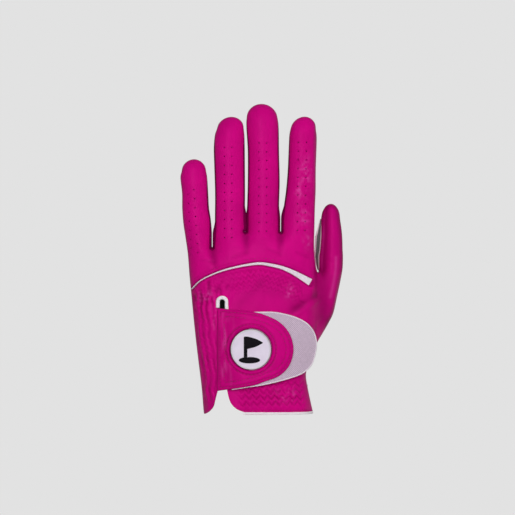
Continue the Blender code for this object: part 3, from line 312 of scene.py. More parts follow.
def glove_outline(step):
    """The silhouette clockwise from the wrist's left corner: x, z and the side walls' share."""
    points = [(x, z, 0.0) for x, z in LEFT_EDGE]
    for name, crotch in zip(FINGER_NAMES, CROTCHES + [None]):
        points += finger_outline(name)
        if crotch:
            x, z = crotch
            points += [(x - 0.85, z + 1.6, 1.0), (x - 0.55, z + 0.4, 1.0), (x, z, 1.0)]
            points += [(x + 0.55, z + 0.4, 1.0), (x + 0.85, z + 1.6, 1.0)]
    points += [(x, z, 0.0) for x, z in INDEX_EDGE]
    x, z = THUMB_CROTCH
    points += [(x - 0.5, z + 0.6, 0.0), (x, z, 0.0), (x + 0.4, z + 0.8, 0.0), (37.5, 91.5, 0.6)]
    points += finger_outline("thumb")
    points += [(x, z, 0.0) for x, z in THUMB_EDGE]
    curve = spline(points, step)
    curve[:, 2] = np.clip(curve[:, 2], 0.0, 1.0)
    wrist = dense_line([THUMB_EDGE[-1], LEFT_EDGE[0]], step)[1:-1]
    return np.concatenate([curve, np.column_stack([wrist, np.zeros(len(wrist))])])


def inward_normals(loop):
    """Unit vectors from a clockwise loop towards its inside."""
    along = unit(np.roll(loop[:, :2], -1, axis=0) - np.roll(loop[:, :2], 1, axis=0))
    return np.stack([along[:, 1], -along[:, 0]], axis=1)


def sheet_outline(step):
    """The edge of the back's and the palm's leather, which stops short of the side walls."""
    loop = glove_outline(step)
    return loop[:, :2] + inward_normals(loop) * loop[:, 2:3] * FOURCHETTE_INSET


def inside(loop, points):
    """Which points are inside a loop."""
    x, z = points[:, 0], points[:, 1]
    result = np.zeros(len(points), bool)
    for (x0, z0), (x1, z1) in zip(loop, np.roll(loop, -1, axis=0)):
        if z0 != z1:
            result ^= ((z0 > z) != (z1 > z)) & (x < (x1 - x0) * (z - z0) / (z1 - z0) + x0)
    return result


def distance_to(chain, points, closed=True):
    """Distance of each point to a chain of segments."""
    best = np.full(len(points), 1e9)
    ends = np.roll(chain, -1, axis=0) if closed else chain[1:]
    for start, end in zip(chain, ends):
        along = end - start
        length2 = float(along @ along)
        if length2 < 1e-12:
            continue
        t = np.clip(((points - start) @ along) / length2, 0, 1)
        away = points - start - t[:, None] * along
        best = np.minimum(best, away[:, 0] ** 2 + away[:, 1] ** 2)
    return np.sqrt(best)


def grid_points(loop, step, margin):
    """Staggered points inside a loop, further than a margin from it."""
    low, high = loop.min(axis=0), loop.max(axis=0)
    points = []
    for row, z in enumerate(np.arange(low[1] + step / 2, high[1], step * 0.87)):
        for x in np.arange(low[0] + step * (0.25 + 0.5 * (row % 2)), high[0], step):
            points.append((x, z))
    points = np.array(points)
    points = points[inside(loop, points)]
    return points[distance_to(loop, points) > margin]


def ring_points(loop, insets):
    """Copies of a loop moved inwards by each inset."""
    normals = inward_normals(loop)
    rings = []
    for inset in insets:
        ring = loop + normals * inset
        rings.append(ring[inside(loop, ring) & (distance_to(loop, ring) > 0.93 * inset)])
    return np.concatenate(rings)


def doubled_areas(flat, triangles):
    """Twice each triangle's area, negative where it turns clockwise."""
    a, b, c = (flat[triangles[:, k]] for k in range(3))
    return (b[:, 0] - a[:, 0]) * (c[:, 1] - a[:, 1]) - (b[:, 1] - a[:, 1]) * (c[:, 0] - a[:, 0])


def triangulate(loops, lines, points):
    """Triangles between the loops, with every line kept as edges."""
    vertices = []
    edges = []
    for chain, closed in [(loop, True) for loop in loops] + [(line, False) for line in lines]:
        first = len(vertices)
        vertices += [Vector((float(x), float(z))) for x, z in chain]
        edges += [(first + i, first + i + 1) for i in range(len(chain) - 1)]
        if closed:
            edges.append((len(vertices) - 1, first))
    vertices += [Vector((float(x), float(z))) for x, z in points]
    made = delaunay_2d_cdt(vertices, edges, [], 0, 1e-5)
    flat = np.array([tuple(v) for v in made[0]])
    triangles = np.array([tuple(face) for face in made[2]])
    middles = flat[triangles].mean(axis=1)
    keep = inside(loops[0], middles)
    for hole in loops[1:]:
        near = np.abs(middles - hole.mean(axis=0)).max(axis=1) < np.ptp(hole, axis=0).max()
        keep[near] &= ~inside(hole, middles[near])
    triangles = triangles[keep]
    clockwise = doubled_areas(flat, triangles) < 0
    triangles[clockwise] = triangles[clockwise][:, ::-1]
    return flat, triangles


def compact(flat, triangles):
    """The points that triangles use, and the triangles renumbered to them."""
    used = np.unique(triangles)
    order = np.full(len(flat), -1)
    order[used] = np.arange(len(used))
    return used, order[triangles]


def filled(loops, points):
    """Points and triangles inside the first loop and outside the others."""
    flat, triangles = triangulate(loops, [], points)
    used, triangles = compact(flat, triangles)
    return flat[used], triangles


# ---------------------------------------------------------------- the filled shape


class FilledShape:
    """Half depth and middle surface of the glove, as in the solids but sampled smoothly."""

    def __init__(self):
        loop = glove_outline(FIELD_STEP)[:, :2]
        inner = np.concatenate([ring_points(loop, [0.8]), grid_points(loop, FIELD_STEP, 1.3)])
        self.flat, self.triangles = triangulate([loop], [], inner)
        open_edge = (self.flat[:, 1] < 0.01) & (np.abs(self.flat[:, 0]) < 33.5)
        held = (distance_to(loop, self.flat) < 1e-3) & ~open_edge
        wrist = 1.0 + (WRIST_SWELL - 1.0) * smoothstep(72.0, 8.0, self.flat[:, 1])
        self.height = self.solve(held) * SWELL_SCALE**2 * wrist**2
        self.slope = self.slopes()
        faces = [tuple(int(i) for i in t) for t in self.triangles]
        self.tree = BVHTree.FromPolygons([(x, z, 0.0) for x, z in self.flat], faces)

    def corner_terms(self):
        """How a value's slope over each triangle follows from its corners, and the triangles' areas."""
        a, b, c = (self.flat[self.triangles[:, k]] for k in range(3))
        area2 = doubled_areas(self.flat, self.triangles)
        sides = np.stack([c - b, a - c, b - a], axis=1)
        return np.stack([-sides[:, :, 1], sides[:, :, 0]], axis=2) / area2[:, None, None], np.abs(area2) / 2

    def solve(self, held):
        """A membrane's height under even pressure, zero where it is held, by conjugate gradients."""
        grads, area = self.corner_terms()
        count = len(self.flat)
        stiff = np.einsum("tik,tjk->tij", grads, grads) * area[:, None, None]
        lumped = np.bincount(self.triangles.ravel(), np.repeat(area / 3, 3), count)
        rows = np.repeat(self.triangles, 3, axis=1).ravel()
        columns = np.tile(self.triangles, (1, 3)).ravel()
        values = stiff.ravel()
        free = ~held
        solution = np.zeros(count)
        residual = lumped * free
        direction = residual.copy()
        size = residual @ residual
        goal = size * 1e-12
        while size > goal:
            out = np.bincount(rows, values * direction[columns], count)
            pushed = (out + lumped * direction / SWELL_LENGTH**2) * free
            move = size / (direction @ pushed)
            solution += move * direction
            residual = residual - move * pushed
            new_size = residual @ residual
            direction = residual + (new_size / size) * direction
            size = new_size
        return np.maximum(solution, 0.0)

    def slopes(self):
        """The height's slope at each point, averaged over the triangles round it."""
        grads, area = self.corner_terms()
        face_slope = np.einsum("tik,ti->tk", grads, self.height[self.triangles])
        total = np.zeros((len(self.flat), 2))
        weight = np.bincount(self.triangles.ravel(), np.repeat(area, 3), len(self.flat))
        for k in range(2):
            share = np.repeat(area * face_slope[:, k], 3)
            total[:, k] = np.bincount(self.triangles.ravel(), share, len(self.flat)) / weight
        return total

    def sample(self, points):
        """Squared half depth and its slope, blended from the corners' own planes."""
        spots = np.empty((len(points), 2))
        found = np.empty(len(points), int)
        for i, (x, z) in enumerate(points):
            spot, _, face, _ = self.tree.find_nearest((float(x), float(z), 0.0))
            spots[i] = spot.x, spot.y
            found[i] = face
        corners = self.triangles[found]
        a, b, c = (self.flat[corners[:, k]] for k in range(3))
        ab, ac, ap = b - a, c - a, spots - a
        whole = ab[:, 0] * ac[:, 1] - ab[:, 1] * ac[:, 0]
        wb = (ap[:, 0] * ac[:, 1] - ap[:, 1] * ac[:, 0]) / whole
        wc = (ab[:, 0] * ap[:, 1] - ab[:, 1] * ap[:, 0]) / whole
        shares = np.clip(np.stack([1 - wb - wc, wb, wc], axis=1), 0.0, 1.0)
        away = spots[:, None, :] - self.flat[corners]
        planes = self.height[corners] + np.einsum("nkj,nkj->nk", self.slope[corners], away)
        weights = shares**2 * (3.0 - 2.0 * shares)
        weights /= weights.sum(axis=1)[:, None]
        linear = (shares * self.height[corners]).sum(axis=1)
        height = 0.5 * linear + 0.5 * (weights * planes).sum(axis=1)
        held = (self.height[corners] <= 0).any(axis=1)
        height = np.where(held, linear, height)
        return np.maximum(height, 0.0), np.einsum("nk,nkj->nj", shares, self.slope[corners])

    @staticmethod
    def middle(points):
        """y of the middle surface, which drops towards the palm at the thumb."""
        turn = smoothstep(DROP_TURN[0], DROP_TURN[1], points[:, 1])
        start = DROP_LOW[0] + (DROP_HIGH[0] - DROP_LOW[0]) * turn
        end = DROP_LOW[1] + (DROP_HIGH[1] - DROP_LOW[1]) * turn
        return THUMB_DROP * smoothstep(start, end, points[:, 0])

    def surface(self, points, side, gap=0.02):
        """Points and outward normals on the back (side -1) or the palm (side +1), in mm."""
        points = np.asarray(points, float)
        height, slope = self.sample(points)
        depth = np.sqrt(height)
        step = 0.25
        middle = self.middle(points)
        lean_x = (self.middle(points + [step, 0.0]) - middle) / step
        lean_z = (self.middle(points + [0.0, step]) - middle) / step
        normal_x = -slope[:, 0] / 2 - side * depth * lean_x
        normal_z = -slope[:, 1] / 2 - side * depth * lean_z
        normals = unit(np.stack([normal_x, side * depth, normal_z], axis=1))
        return with_y(points, middle + side * (gap + depth)), normals


SHAPE = FilledShape()

# ---------------------------------------------------------------- materials

PINK = (0.60, 0.0015, 0.205)
# A darker copy of the pink for the fourchettes: painted shade for the walls deep between the fingers
PAINTED_SHADE_PINK = (0.20, 0.0006, 0.068)
# The paler pink of the patches on the back and of the painted highlights on the thumb and the tab
PALE_PATCH_PINK = (0.66, 0.06, 0.34)
# How dark the painted shade in folds, grooves and hollows makes the leather
PAINTED_SHADE_DEPTH = 0.32


def shader_nodes(name, colour, roughness, metallic=0.0):
    made = bpy.data.materials.new(name)
    made.use_nodes = True
    tree = made.node_tree
    shader = tree.nodes["Principled BSDF"]
    shader.inputs["Base Color"].default_value = (*colour, 1.0)
    shader.inputs["Roughness"].default_value = roughness
    shader.inputs["Metallic"].default_value = metallic
    return made, tree, shader


def node(tree, kind, **values):
    made = tree.nodes.new(kind)
    for key, value in values.items():
        if key in made.inputs:
            made.inputs[key].default_value = value
        else:
            setattr(made, key, value)
    return made


def place(tree):
    return tree.nodes.new("ShaderNodeTexCoord").outputs["Object"]


def maths(tree, operation, first, second=None):
    """A Math node on a socket and, if it takes two, another socket or a number."""
    made = node(tree, "ShaderNodeMath", operation=operation)
    tree.links.new(first, made.inputs[0])
    if isinstance(second, float):
        made.inputs[1].default_value = second
    elif second is not None:
        tree.links.new(second, made.inputs[1])
    return made.outputs[0]


def spread(tree, source, low, high):
    """A 0 to 1 value stretched between two numbers."""
    made = node(tree, "ShaderNodeMapRange")
    made.inputs["To Min"].default_value = low
    made.inputs["To Max"].default_value = high
    tree.links.new(source, made.inputs["Value"])
    return made.outputs["Result"]


def mix_colour(tree, share, dark, light):
    ramp = node(tree, "ShaderNodeValToRGB")
    for element, position, colour in zip(ramp.color_ramp.elements, (0.25, 0.75), (dark, light)):
        element.position = position
        element.color = (*colour, 1.0)
    tree.links.new(share, ramp.inputs["Fac"])
    return ramp.outputs["Color"]


def bump(tree, shader, source, strength, distance, normal=None):
    made = node(tree, "ShaderNodeBump", Strength=strength, Distance=distance)
    tree.links.new(source, made.inputs["Height"])
    if normal is not None:
        tree.links.new(normal, made.inputs["Normal"])
    tree.links.new(made.outputs["Normal"], shader.inputs["Normal"])
    return made.outputs["Normal"]


def noise_texture(tree, spot, scale, detail, roughness=0.5):
    made = node(tree, "ShaderNodeTexNoise", Scale=scale, Detail=detail, Roughness=roughness)
    tree.links.new(spot, made.inputs["Vector"])
    return made.outputs["Fac"]


def mix_by_attribute(tree, attribute, colour, other):
    """Turns a colour into another where the mesh says so; pieces without the attribute keep theirs."""
    amount = tree.nodes.new("ShaderNodeAttribute")
    amount.attribute_name = attribute
    mix = node(tree, "ShaderNodeMix", data_type="RGBA")
    factor, first, second = mix.inputs[0], mix.inputs[6], mix.inputs[7]
    second.default_value = (*other, 1.0)
    tree.links.new(amount.outputs["Fac"], factor)
    tree.links.new(colour, first)
    return mix.outputs[2]


def leather_material(name, colour, roughness):
    """Dyed leather with a fine grain, with painted shade in its folds and paler patches and painted
    highlights where the mesh asks.
    """
    made, tree, shader = shader_nodes(name, colour, roughness)
    spot = place(tree)
    tone = noise_texture(tree, spot, 55.0, 4.0, 0.6)
    dark = tuple(0.86 * c for c in colour)
    light = tuple(min(1.0, 1.08 * c) for c in colour)
    deep = tuple(PAINTED_SHADE_DEPTH * c for c in colour)
    # The first attribute darkens the colour as painted shade; the second paints paler patches and
    # highlights
    with_painted_shade = mix_by_attribute(tree, "painted_shade", mix_colour(tree, tone, dark, light), deep)
    tree.links.new(mix_by_attribute(tree, "pale_patch_and_highlight", with_painted_shade, PALE_PATCH_PINK), shader.inputs["Base Color"])
    gloss = spread(tree, noise_texture(tree, spot, 240.0, 3.0), roughness - 0.07, roughness + 0.09)
    tree.links.new(gloss, shader.inputs["Roughness"])
    first = bump(tree, shader, noise_texture(tree, spot, 420.0, 5.0, 0.65), 0.28, 0.00025)
    grain = node(tree, "ShaderNodeTexVoronoi", Scale=1500.0)
    tree.links.new(spot, grain.inputs["Vector"])
    bump(tree, shader, grain.outputs["Distance"], 0.22, 0.00012, first)
    shader.inputs["Specular IOR Level"].default_value = 0.30
    shader.inputs["Specular Tint"].default_value = (1.0, 0.1, 0.5, 1.0)
    return made


def fabric_material(name, dark, light, pitch, roughness, depth=0.0002):
    """Woven cloth: crossed ribs in X and Z, with a little unevenness."""
    made, tree, shader = shader_nodes(name, light, roughness)
    spot = place(tree)
    split = node(tree, "ShaderNodeSeparateXYZ")
    tree.links.new(spot, split.inputs["Vector"])
    ribs = []
    for axis in ("X", "Z"):
        ribs.append(maths(tree, "SINE", maths(tree, "MULTIPLY", split.outputs[axis], TURN / pitch)))
    height = node(tree, "ShaderNodeMapRange")
    height.inputs["From Min"].default_value = -1.0
    tree.links.new(maths(tree, "MULTIPLY", *ribs), height.inputs["Value"])
    speck = noise_texture(tree, spot, 900.0, 3.0, 0.6)
    weave = maths(tree, "MULTIPLY", maths(tree, "ADD", height.outputs["Result"], speck), 0.5)
    tree.links.new(mix_colour(tree, weave, dark, light), shader.inputs["Base Color"])
    bump(tree, shader, weave, 0.6, depth)
    shader.inputs["Sheen Weight"].default_value = 0.25
    return made


def fuzzy_material(name, dark, light, roughness, scale=1400.0, strength=0.5, sheen=0.3):
    """Suede, loop pile, hooks or thread: one fine nap."""
    made, tree, shader = shader_nodes(name, light, roughness)
    nap = noise_texture(tree, place(tree), scale, 6.0, 0.7)
    tree.links.new(mix_colour(tree, nap, dark, light), shader.inputs["Base Color"])
    bump(tree, shader, nap, strength, 0.0003)
    shader.inputs["Sheen Weight"].default_value = sheen
    return made


def hard_material(name, dark, light, roughness, metallic=0.0, coat=0.0, shine=0.5):
    """Plastic, steel or enamel with a faint unevenness."""
    made, tree, shader = shader_nodes(name, light, roughness, metallic)
    spot = place(tree)
    tone = noise_texture(tree, spot, 180.0, 4.0)
    tree.links.new(mix_colour(tree, tone, dark, light), shader.inputs["Base Color"])
    gloss = spread(tree, noise_texture(tree, spot, 700.0, 3.0), roughness - 0.04, roughness + 0.06)
    tree.links.new(gloss, shader.inputs["Roughness"])
    bump(tree, shader, noise_texture(tree, spot, 1200.0, 2.0), 0.05, 0.0001)
    shader.inputs["Coat Weight"].default_value = coat
    shader.inputs["Specular IOR Level"].default_value = shine
    return made


LOOKS = {
    "pink_leather": leather_material("pink_cabretta", PINK, 0.35),
    # The fourchettes get the darker copy of the leather, painted shade for their place deep between the
    # fingers
    "fourchette": leather_material("painted_shade_cabretta", PAINTED_SHADE_PINK, 0.5),
    "suede_inside": fuzzy_material("suede_inside", (0.22, 0.26, 0.24), (0.36, 0.40, 0.38), 0.95),
    "thread": fuzzy_material("pink_thread", (0.28, 0.001, 0.095), (0.50, 0.003, 0.17), 0.6, 2600.0, 0.5,
                             0.0),
    "loop_fabric": fuzzy_material("loop_pile", (0.28, 0.001, 0.09), (0.55, 0.004, 0.19), 0.95, 1700.0,
                                  0.9),
    "hook_plastic": fuzzy_material("hook_strip", (0.50, 0.48, 0.52), (0.84, 0.82, 0.86), 0.7, 2100.0, 0.8),
    "white_trim": fabric_material("white_tape", (0.60, 0.51, 0.60), (0.99, 0.91, 0.98), 0.0009, 0.7),
    "bright_tape": fabric_material("bright_tape", (0.78, 0.75, 0.78), (0.98, 0.95, 0.98), 0.0009, 0.7),
    "grey_mesh": fabric_material("lilac_mesh", (0.42, 0.32, 0.42), (0.70, 0.56, 0.69), 0.0013, 0.85,
                                 0.0003),
    # A dark mesh that stands for painted shade between the gusset's lips
    "painted_shade_mesh": fabric_material("painted_shade_mesh", (0.05, 0.06, 0.06), (0.17, 0.18, 0.19), 0.0010, 0.9),
    "elastic": fabric_material("elastic_tape", (0.50, 0.48, 0.52), (0.82, 0.80, 0.84), 0.0011, 0.9),
    "socket_plastic": hard_material("socket_plastic", (0.035, 0.035, 0.04), (0.06, 0.06, 0.066), 0.5),
    "magnet_steel": hard_material("magnet_steel", (0.42, 0.43, 0.45), (0.62, 0.63, 0.65), 0.3, 1.0),
    "white_enamel": hard_material("white_enamel", (0.71, 0.63, 0.77), (0.79, 0.71, 0.85), 0.3, coat=0.2),
    "marker_rim": hard_material("marker_rim", (0.62, 0.57, 0.64), (0.74, 0.70, 0.76), 0.35, 0.2),
    "black_enamel": hard_material("black_enamel", (0.003, 0.002, 0.004), (0.007, 0.005, 0.009), 0.62,
                                  shine=0.12),
}


# ---------------------------------------------------------------- mesh helpers


def vertex_normals(spots, triangles):
    a, b, c = (spots[triangles[:, k]] for k in range(3))
    face = np.cross(b - a, c - a)
    total = np.zeros_like(spots)
    for k in range(3):
        np.add.at(total, triangles[:, k], face)
    return unit(total)


def add_mesh(name, spots, faces, looks, slots=None, normals=None):
    """A mesh object from points in mm. normals holds one vector per face corner, zero for automatic."""
    mesh = bpy.data.meshes.new(name)
    mesh.from_pydata((np.asarray(spots) * MM).tolist(), [], faces)
    for look in looks:
        mesh.materials.append(LOOKS[look])
    if slots is not None:
        mesh.polygons.foreach_set("material_index", np.asarray(slots, np.int32))
    mesh.shade_smooth()
    if normals is not None:
        mesh.normals_split_custom_set(normals)
    made = bpy.data.objects.new(name, mesh)
    bpy.context.scene.collection.objects.link(made)
    return made


def settle(piece, slot, body, *solids):
    """Hides the solids that a finished piece stands for and hangs it on the body it rides on; slot is not
    used.
    """
    if solids:
        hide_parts(*solids)
    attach(piece, body)


def mark(piece, name, values):
    """Stores a value for each point of a shell, the same on its outer and inner face."""
    attribute = piece.data.attributes.new(name, "FLOAT", "POINT")
    attribute.data.foreach_set("value", np.concatenate([values, values]).astype(np.float32))


def open_sides(triangles):
    """Border edges of a set of triangles, in the triangles' own direction."""
    edges = np.concatenate([triangles[:, [0, 1]], triangles[:, [1, 2]], triangles[:, [2, 0]]])
    key = edges[:, 0].astype(np.int64) * 10_000_000 + edges[:, 1]
    back = edges[:, 1].astype(np.int64) * 10_000_000 + edges[:, 0]
    return edges[~np.isin(key, back)]


def shell(name, outer, inner, triangles, looks, outer_normals=None):
    """A closed sheet: outer triangles, inner ones in the last look, and its edge in the first."""
    count = len(outer)
    rims = open_sides(triangles)
    faces = triangles.tolist() + (triangles[:, ::-1] + count).tolist()
    faces += [[a, a + count, b + count, b] for a, b in rims.tolist()]
    slots = [0] * len(triangles) + [len(looks) - 1] * len(triangles) + [0] * len(rims)
    if outer_normals is None:
        outer_normals = vertex_normals(outer, triangles)
    corner = np.concatenate([
        outer_normals[triangles.ravel()],
        -outer_normals[triangles[:, ::-1].ravel()],
        np.zeros((4 * len(rims), 3)),
    ])
    return add_mesh(name, np.concatenate([outer, inner]), faces, looks, slots, corner.tolist())


def strip(name, outer, inner, looks):
    """A closed strip from one row of outer and inner points for each level across it."""
    levels, rows = len(outer), len(outer[0])
    outer = np.stack(outer, axis=1).reshape(-1, 3)
    inner = np.stack(inner, axis=1).reshape(-1, 3)
    triangles = []
    for i in range(rows - 1):
        for j in range(levels - 1):
            a, b = i * levels + j, i * levels + j + 1
            triangles += [(a, b, b + levels), (a, b + levels, a + levels)]
    triangles = np.array(triangles)
    if (vertex_normals(outer, triangles) * (outer - inner)).sum() <= 0:
        triangles = triangles[:, ::-1]
    return shell(name, outer, inner, triangles, looks)


def about_marker(radius):
    return circle(MARKER_CENTRE, radius, ROUND_SEGMENTS)


def lathe(name, profile, looks, slots):
    """A turned piece about the marker's axis; profile is (radius, y) points that start and end on the axis.

    slots holds the look of each ring of faces, from the first point off the axis.
    """
    x, z = MARKER_CENTRE
    spots = [(x, profile[0][1], z)]
    for radius, y in profile[1:-1]:
        spots += [(px, y, pz) for px, pz in about_marker(radius)]
    spots.append((x, profile[-1][1], z))
    rows = len(profile) - 2
    last = 1 + (rows - 1) * ROUND_SEGMENTS
    faces = []
    marks = []
    for i in range(ROUND_SEGMENTS):
        j = (i + 1) % ROUND_SEGMENTS
        faces.append([0, 1 + j, 1 + i])
        marks.append(0)
        for row in range(rows - 1):
            a = 1 + row * ROUND_SEGMENTS
            b = a + ROUND_SEGMENTS
            faces.append([a + i, a + j, b + j, b + i])
            marks.append(slots[row])
        faces.append([last + i, last + j, len(spots) - 1])
        marks.append(slots[-1])
    made = add_mesh(name, np.array(spots), faces, looks, marks)
    made.data.set_sharp_from_angle(angle=math.radians(40))
    return made


def run_along(line):
    """Each point's distance along a line."""
    return np.concatenate([[0.0], np.cumsum(np.linalg.norm(np.diff(line, axis=0), axis=1))])


def left_of(line):
    """Unit vectors across a line in the X-Z plane, to the left of its direction."""
    along = unit(np.gradient(line, axis=0))
    return np.stack([-along[:, 1], along[:, 0]], axis=1)


def ribbon(name, centre, half, lift, look, ribs, levels, depth, base):
    """A crowned and ribbed tape along a line in the X-Z plane.

    ribs is (pitch, height), and base gives the points and normals of the surface that the tape lies on.
    """
    over = left_of(centre)
    half = np.broadcast_to(half, len(centre))
    pitch, rib_height = ribs
    rib = rib_height * np.sin(TURN * run_along(centre) / pitch)
    top = []
    bottom = []
    for t in np.linspace(-1.0, 1.0, levels):
        spots, normals = base(centre + over * (half * t)[:, None])
        height = 0.05 + lift * math.sqrt(1.0 - t**2) + rib * (1 - t**2)
        top.append(spots + normals * height[:, None])
        bottom.append(spots - normals * depth)
    return strip(name, top, bottom, [look])


STITCH_SHAPE = ((0.0, 0.45, -0.12), (0.14, 0.9, 0.05), (0.5, 1.0, 0.16), (0.86, 0.9, 0.05),
                (1.0, 0.45, -0.12))
STITCH_SIDES = 6


def stitches(name, runs, pitch=2.3, length=1.65, radius=0.2):
    """Separate thread stitches along runs of (points, normals).

    STITCH_SHAPE gives each ring's share of the length, of the radius, and its rise in mm.
    """
    turns = [TURN * s / STITCH_SIDES for s in range(STITCH_SIDES)]
    spots = []
    faces = []
    for line, normals in runs:
        run = run_along(line)
        for k in range(int(run[-1] / pitch)):
            begin = pitch * k + (pitch - length) / 2
            at = np.array([begin, begin + length])
            a, b = (np.array([np.interp(s, run, line[:, i]) for i in range(3)]) for s in at)
            n = np.array([np.interp(at.mean(), run, normals[:, i]) for i in range(3)])
            n /= np.linalg.norm(n)
            across = np.cross((b - a) / np.linalg.norm(b - a), n)
            first = len(spots)
            for t, width, rise in STITCH_SHAPE:
                middle = a + (b - a) * t + n * rise
                spots += [middle + radius * width * (across * math.cos(u) + n * math.sin(u)) for u in turns]
            for ring in range(len(STITCH_SHAPE) - 1):
                for s in range(STITCH_SIDES):
                    p = first + ring * STITCH_SIDES + s
                    q = first + ring * STITCH_SIDES + (s + 1) % STITCH_SIDES
                    faces.append([p, q, q + STITCH_SIDES, p + STITCH_SIDES])
            end = first + (len(STITCH_SHAPE) - 1) * STITCH_SIDES
            faces.append([first + s for s in reversed(range(STITCH_SIDES))])
            faces.append([end + s for s in range(STITCH_SIDES)])
    return add_mesh(name, np.array(spots), faces, ["thread"])


# ---------------------------------------------------------------- relief of the leather

TRIM_CURVE = spline(TRIM, 0.8)


def beside_trim(points):
    """Signed distance from the trim's centre line (positive above), place along it and half width."""
    best = np.full(len(points), 1e9)
    signed = np.zeros(len(points))
    run = np.zeros(len(points))
    half = np.zeros(len(points))
    travelled = 0.0
    for start, end in zip(TRIM_CURVE[:-1], TRIM_CURVE[1:]):
        along = (end - start)[:2]
        length = float(np.linalg.norm(along))
        t = np.clip(((points - start[:2]) @ along) / length**2, 0, 1)
        away = points - start[:2] - t[:, None] * along
        distance = np.linalg.norm(away, axis=1)
        closer = distance < best
        best[closer] = distance[closer]
        up = (away @ np.array([-along[1], along[0]])) > 0
        signed[closer] = np.where(up, distance, -distance)[closer]
        run[closer] = travelled + t[closer] * length
        half[closer] = (start[2] + (end[2] - start[2]) * t)[closer]
        travelled += length
    return signed, run, half


def zigzag(value):
    """A triangle wave from -1 to 1 with period 1."""
    return 4.0 * np.abs(value - np.floor(value + 0.5)) - 1.0


def smocking(along, across, pitch, rows, swing):
    """Height of zigzag elastic stitching: pinched along each zigzag line and puffed between them."""
    steep = math.hypot(1.0, 4.0 * swing / pitch)
    nearest = np.full(len(along), 9.0)
    for index, row in enumerate(rows):
        line = row + swing * zigzag(along / pitch) + 0.3 * np.sin(along / 9.0 + 2.0 * index)
        nearest = np.minimum(nearest, np.abs(across - line) / steep)
    return 0.26 - 0.5 * bell(nearest, 0.115 * pitch) - 0.2 * bell(nearest, 0.27 * pitch)


def waves(points, scale, seed, stretch=(1.0, 1.0)):
    """Smooth noise from -1 to 1; a stretch below 1 draws it out along that axis."""
    across, up = stretch
    return np.array([noise.noise(Vector((x * across / scale, z * up / scale, seed))) for x, z in points])


def line_distance(points, start, end):
    """Distance from a segment and the share of the way along it."""
    start, end = np.array(start, float), np.array(end, float)
    along = end - start
    t = ((points - start) @ along) / float(along @ along)
    away = points - start - np.clip(t, 0, 1)[:, None] * along
    return np.linalg.norm(away, axis=1), t


def ridge(points, start, end, height, width, fade=None, sway=0.0):
    """A rise along a segment, or a valley where height is negative.

    fade is the two shares of the way between which it goes from nothing to its full height.
    """
    away, t = line_distance(points, start, end)
    rise = height * bell(away + sway, width)
    if fade:
        rise = rise * smoothstep(fade[0], fade[1], t)
    return rise


def beside_fold(points):
    """Signed distance below the fold from the thumb's crotch, and the share of the way along it."""
    start, end = np.array(FOLD)
    along = end - start
    away = points - start
    t = (away @ along) / float(along @ along)
    return (away @ np.array([-along[1], along[0]])) / float(np.linalg.norm(along)), t


def trim_bed(x, signed, half):
    """The sunk bed under the trim, the soft roll beside it and the stitched groove above it."""
    bed = -0.55 * smoothstep(half + 1.0, half + 0.2, np.abs(signed)) * (x < TRIM_RIGHT)
    roll = 0.35 * bell(np.abs(signed) - half - 1.7, 0.9) * (x < TRIM_RIGHT)
    groove = -0.28 * bell(signed - half - TRIM_STITCHES, 0.35) * window(x, -43.0, -38.0, 30.0, 33.0)
    return bed + roll + groove


def knuckle_gathers(points, signed, run, half):
    """Zigzag gathers under the trim, which turn into upright strokes towards the side strip."""
    x = points[:, 0]
    below = -signed - half
    zone = smoothstep(1.6, 3.2, below) * smoothstep(19.0, 14.0, below + 0.16 * np.maximum(x, 0.0))
    zone *= window(x, -43.0, -38.0, 25.0, 31.0) * smoothstep(-1.5, 1.0, -signed)
    zone *= 1.0 - 0.35 * smoothstep(8.0, 14.0, below)
    zone *= (0.85 + 0.4 * waves(points, 8.0, 41.0)) * (1.0 - 0.6 * smoothstep(-12.0, -19.0, x))
    strokes = smoothstep(-0.1, 0.5, waves(points, 2.5, 81.0, (1.0, 0.4)))
    strokes *= window(below, 1.0, 2.5, 11.0, 17.0) * smoothstep(-10.0, -19.0, x)
    return zone * smocking(run, below, 3.7, (3.6, 6.9, 10.2, 13.5, 16.8), 1.1) - 0.55 * strokes


def side_strip_folds(points):
    """Broken upright folds of the side strip, with faint zigzag rows over them."""
    x, z = points[:, 0], points[:, 1]
    edge_x, edge_z = zip(*LEFT_EDGE)
    from_left = x - np.interp(z, edge_z, edge_x)
    on_strip = window(z, 1.0, 8.0, 70.0, 78.0) * smoothstep(-25.2, -27.4, x)
    sway = 1.6 * waves(points, 12.0, 5.5, (0.2, 1.0))
    folds = 0.38 * np.cos(TURN * (from_left + sway) / 3.6)
    folds += 0.22 * np.cos(TURN * (from_left - 0.7 * sway) / 5.9) * np.cos(TURN * z / 13.0 + from_left)
    folds *= 0.75 + 0.9 * waves(points, 4.5, 91.0, (1.0, 0.5))
    rows = 0.65 * smocking(z + 2.5 * sway, from_left + 0.5 * sway, 5.6, (2.4, 5.6, 8.6), 1.3)
    rows *= smoothstep(0.5, 2.0, from_left) * (0.55 + 0.35 * waves(points, 5.0, 61.0))
    return on_strip * (folds + rows)


def cuff_gathers(points):
    """Zigzag gathers of the cuff and the stitched groove above its hem."""
    x, z = points[:, 0], points[:, 1]
    zone = window(z, 3.6, 5.2, 22.0, 26.0) * window(x, -15.0, -9.0, 26.0, 30.0)
    zone *= 1.0 + 0.7 * waves(points, 7.0, 71.0)
    groove = 0.22 * bell(z - HEM_STITCHES, 0.4) * (x > -12.0)
    return zone * smocking(x + 0.12 * z, z, 4.6, (6.6, 10.6, 14.6, 18.6), 1.35) - groove


def thumb_turn(x, z):
    """The thumb's section turns away on its inner flank."""
    flank = smoothstep(46.0, 38.5, x) * smoothstep(84.0, 92.0, z) * (x > INDEX_SIDE)
    return smoothstep(44.0, 62.0, z) * (0.7 * bell(x - 47.4, 3.2) - 1.7 * flank)


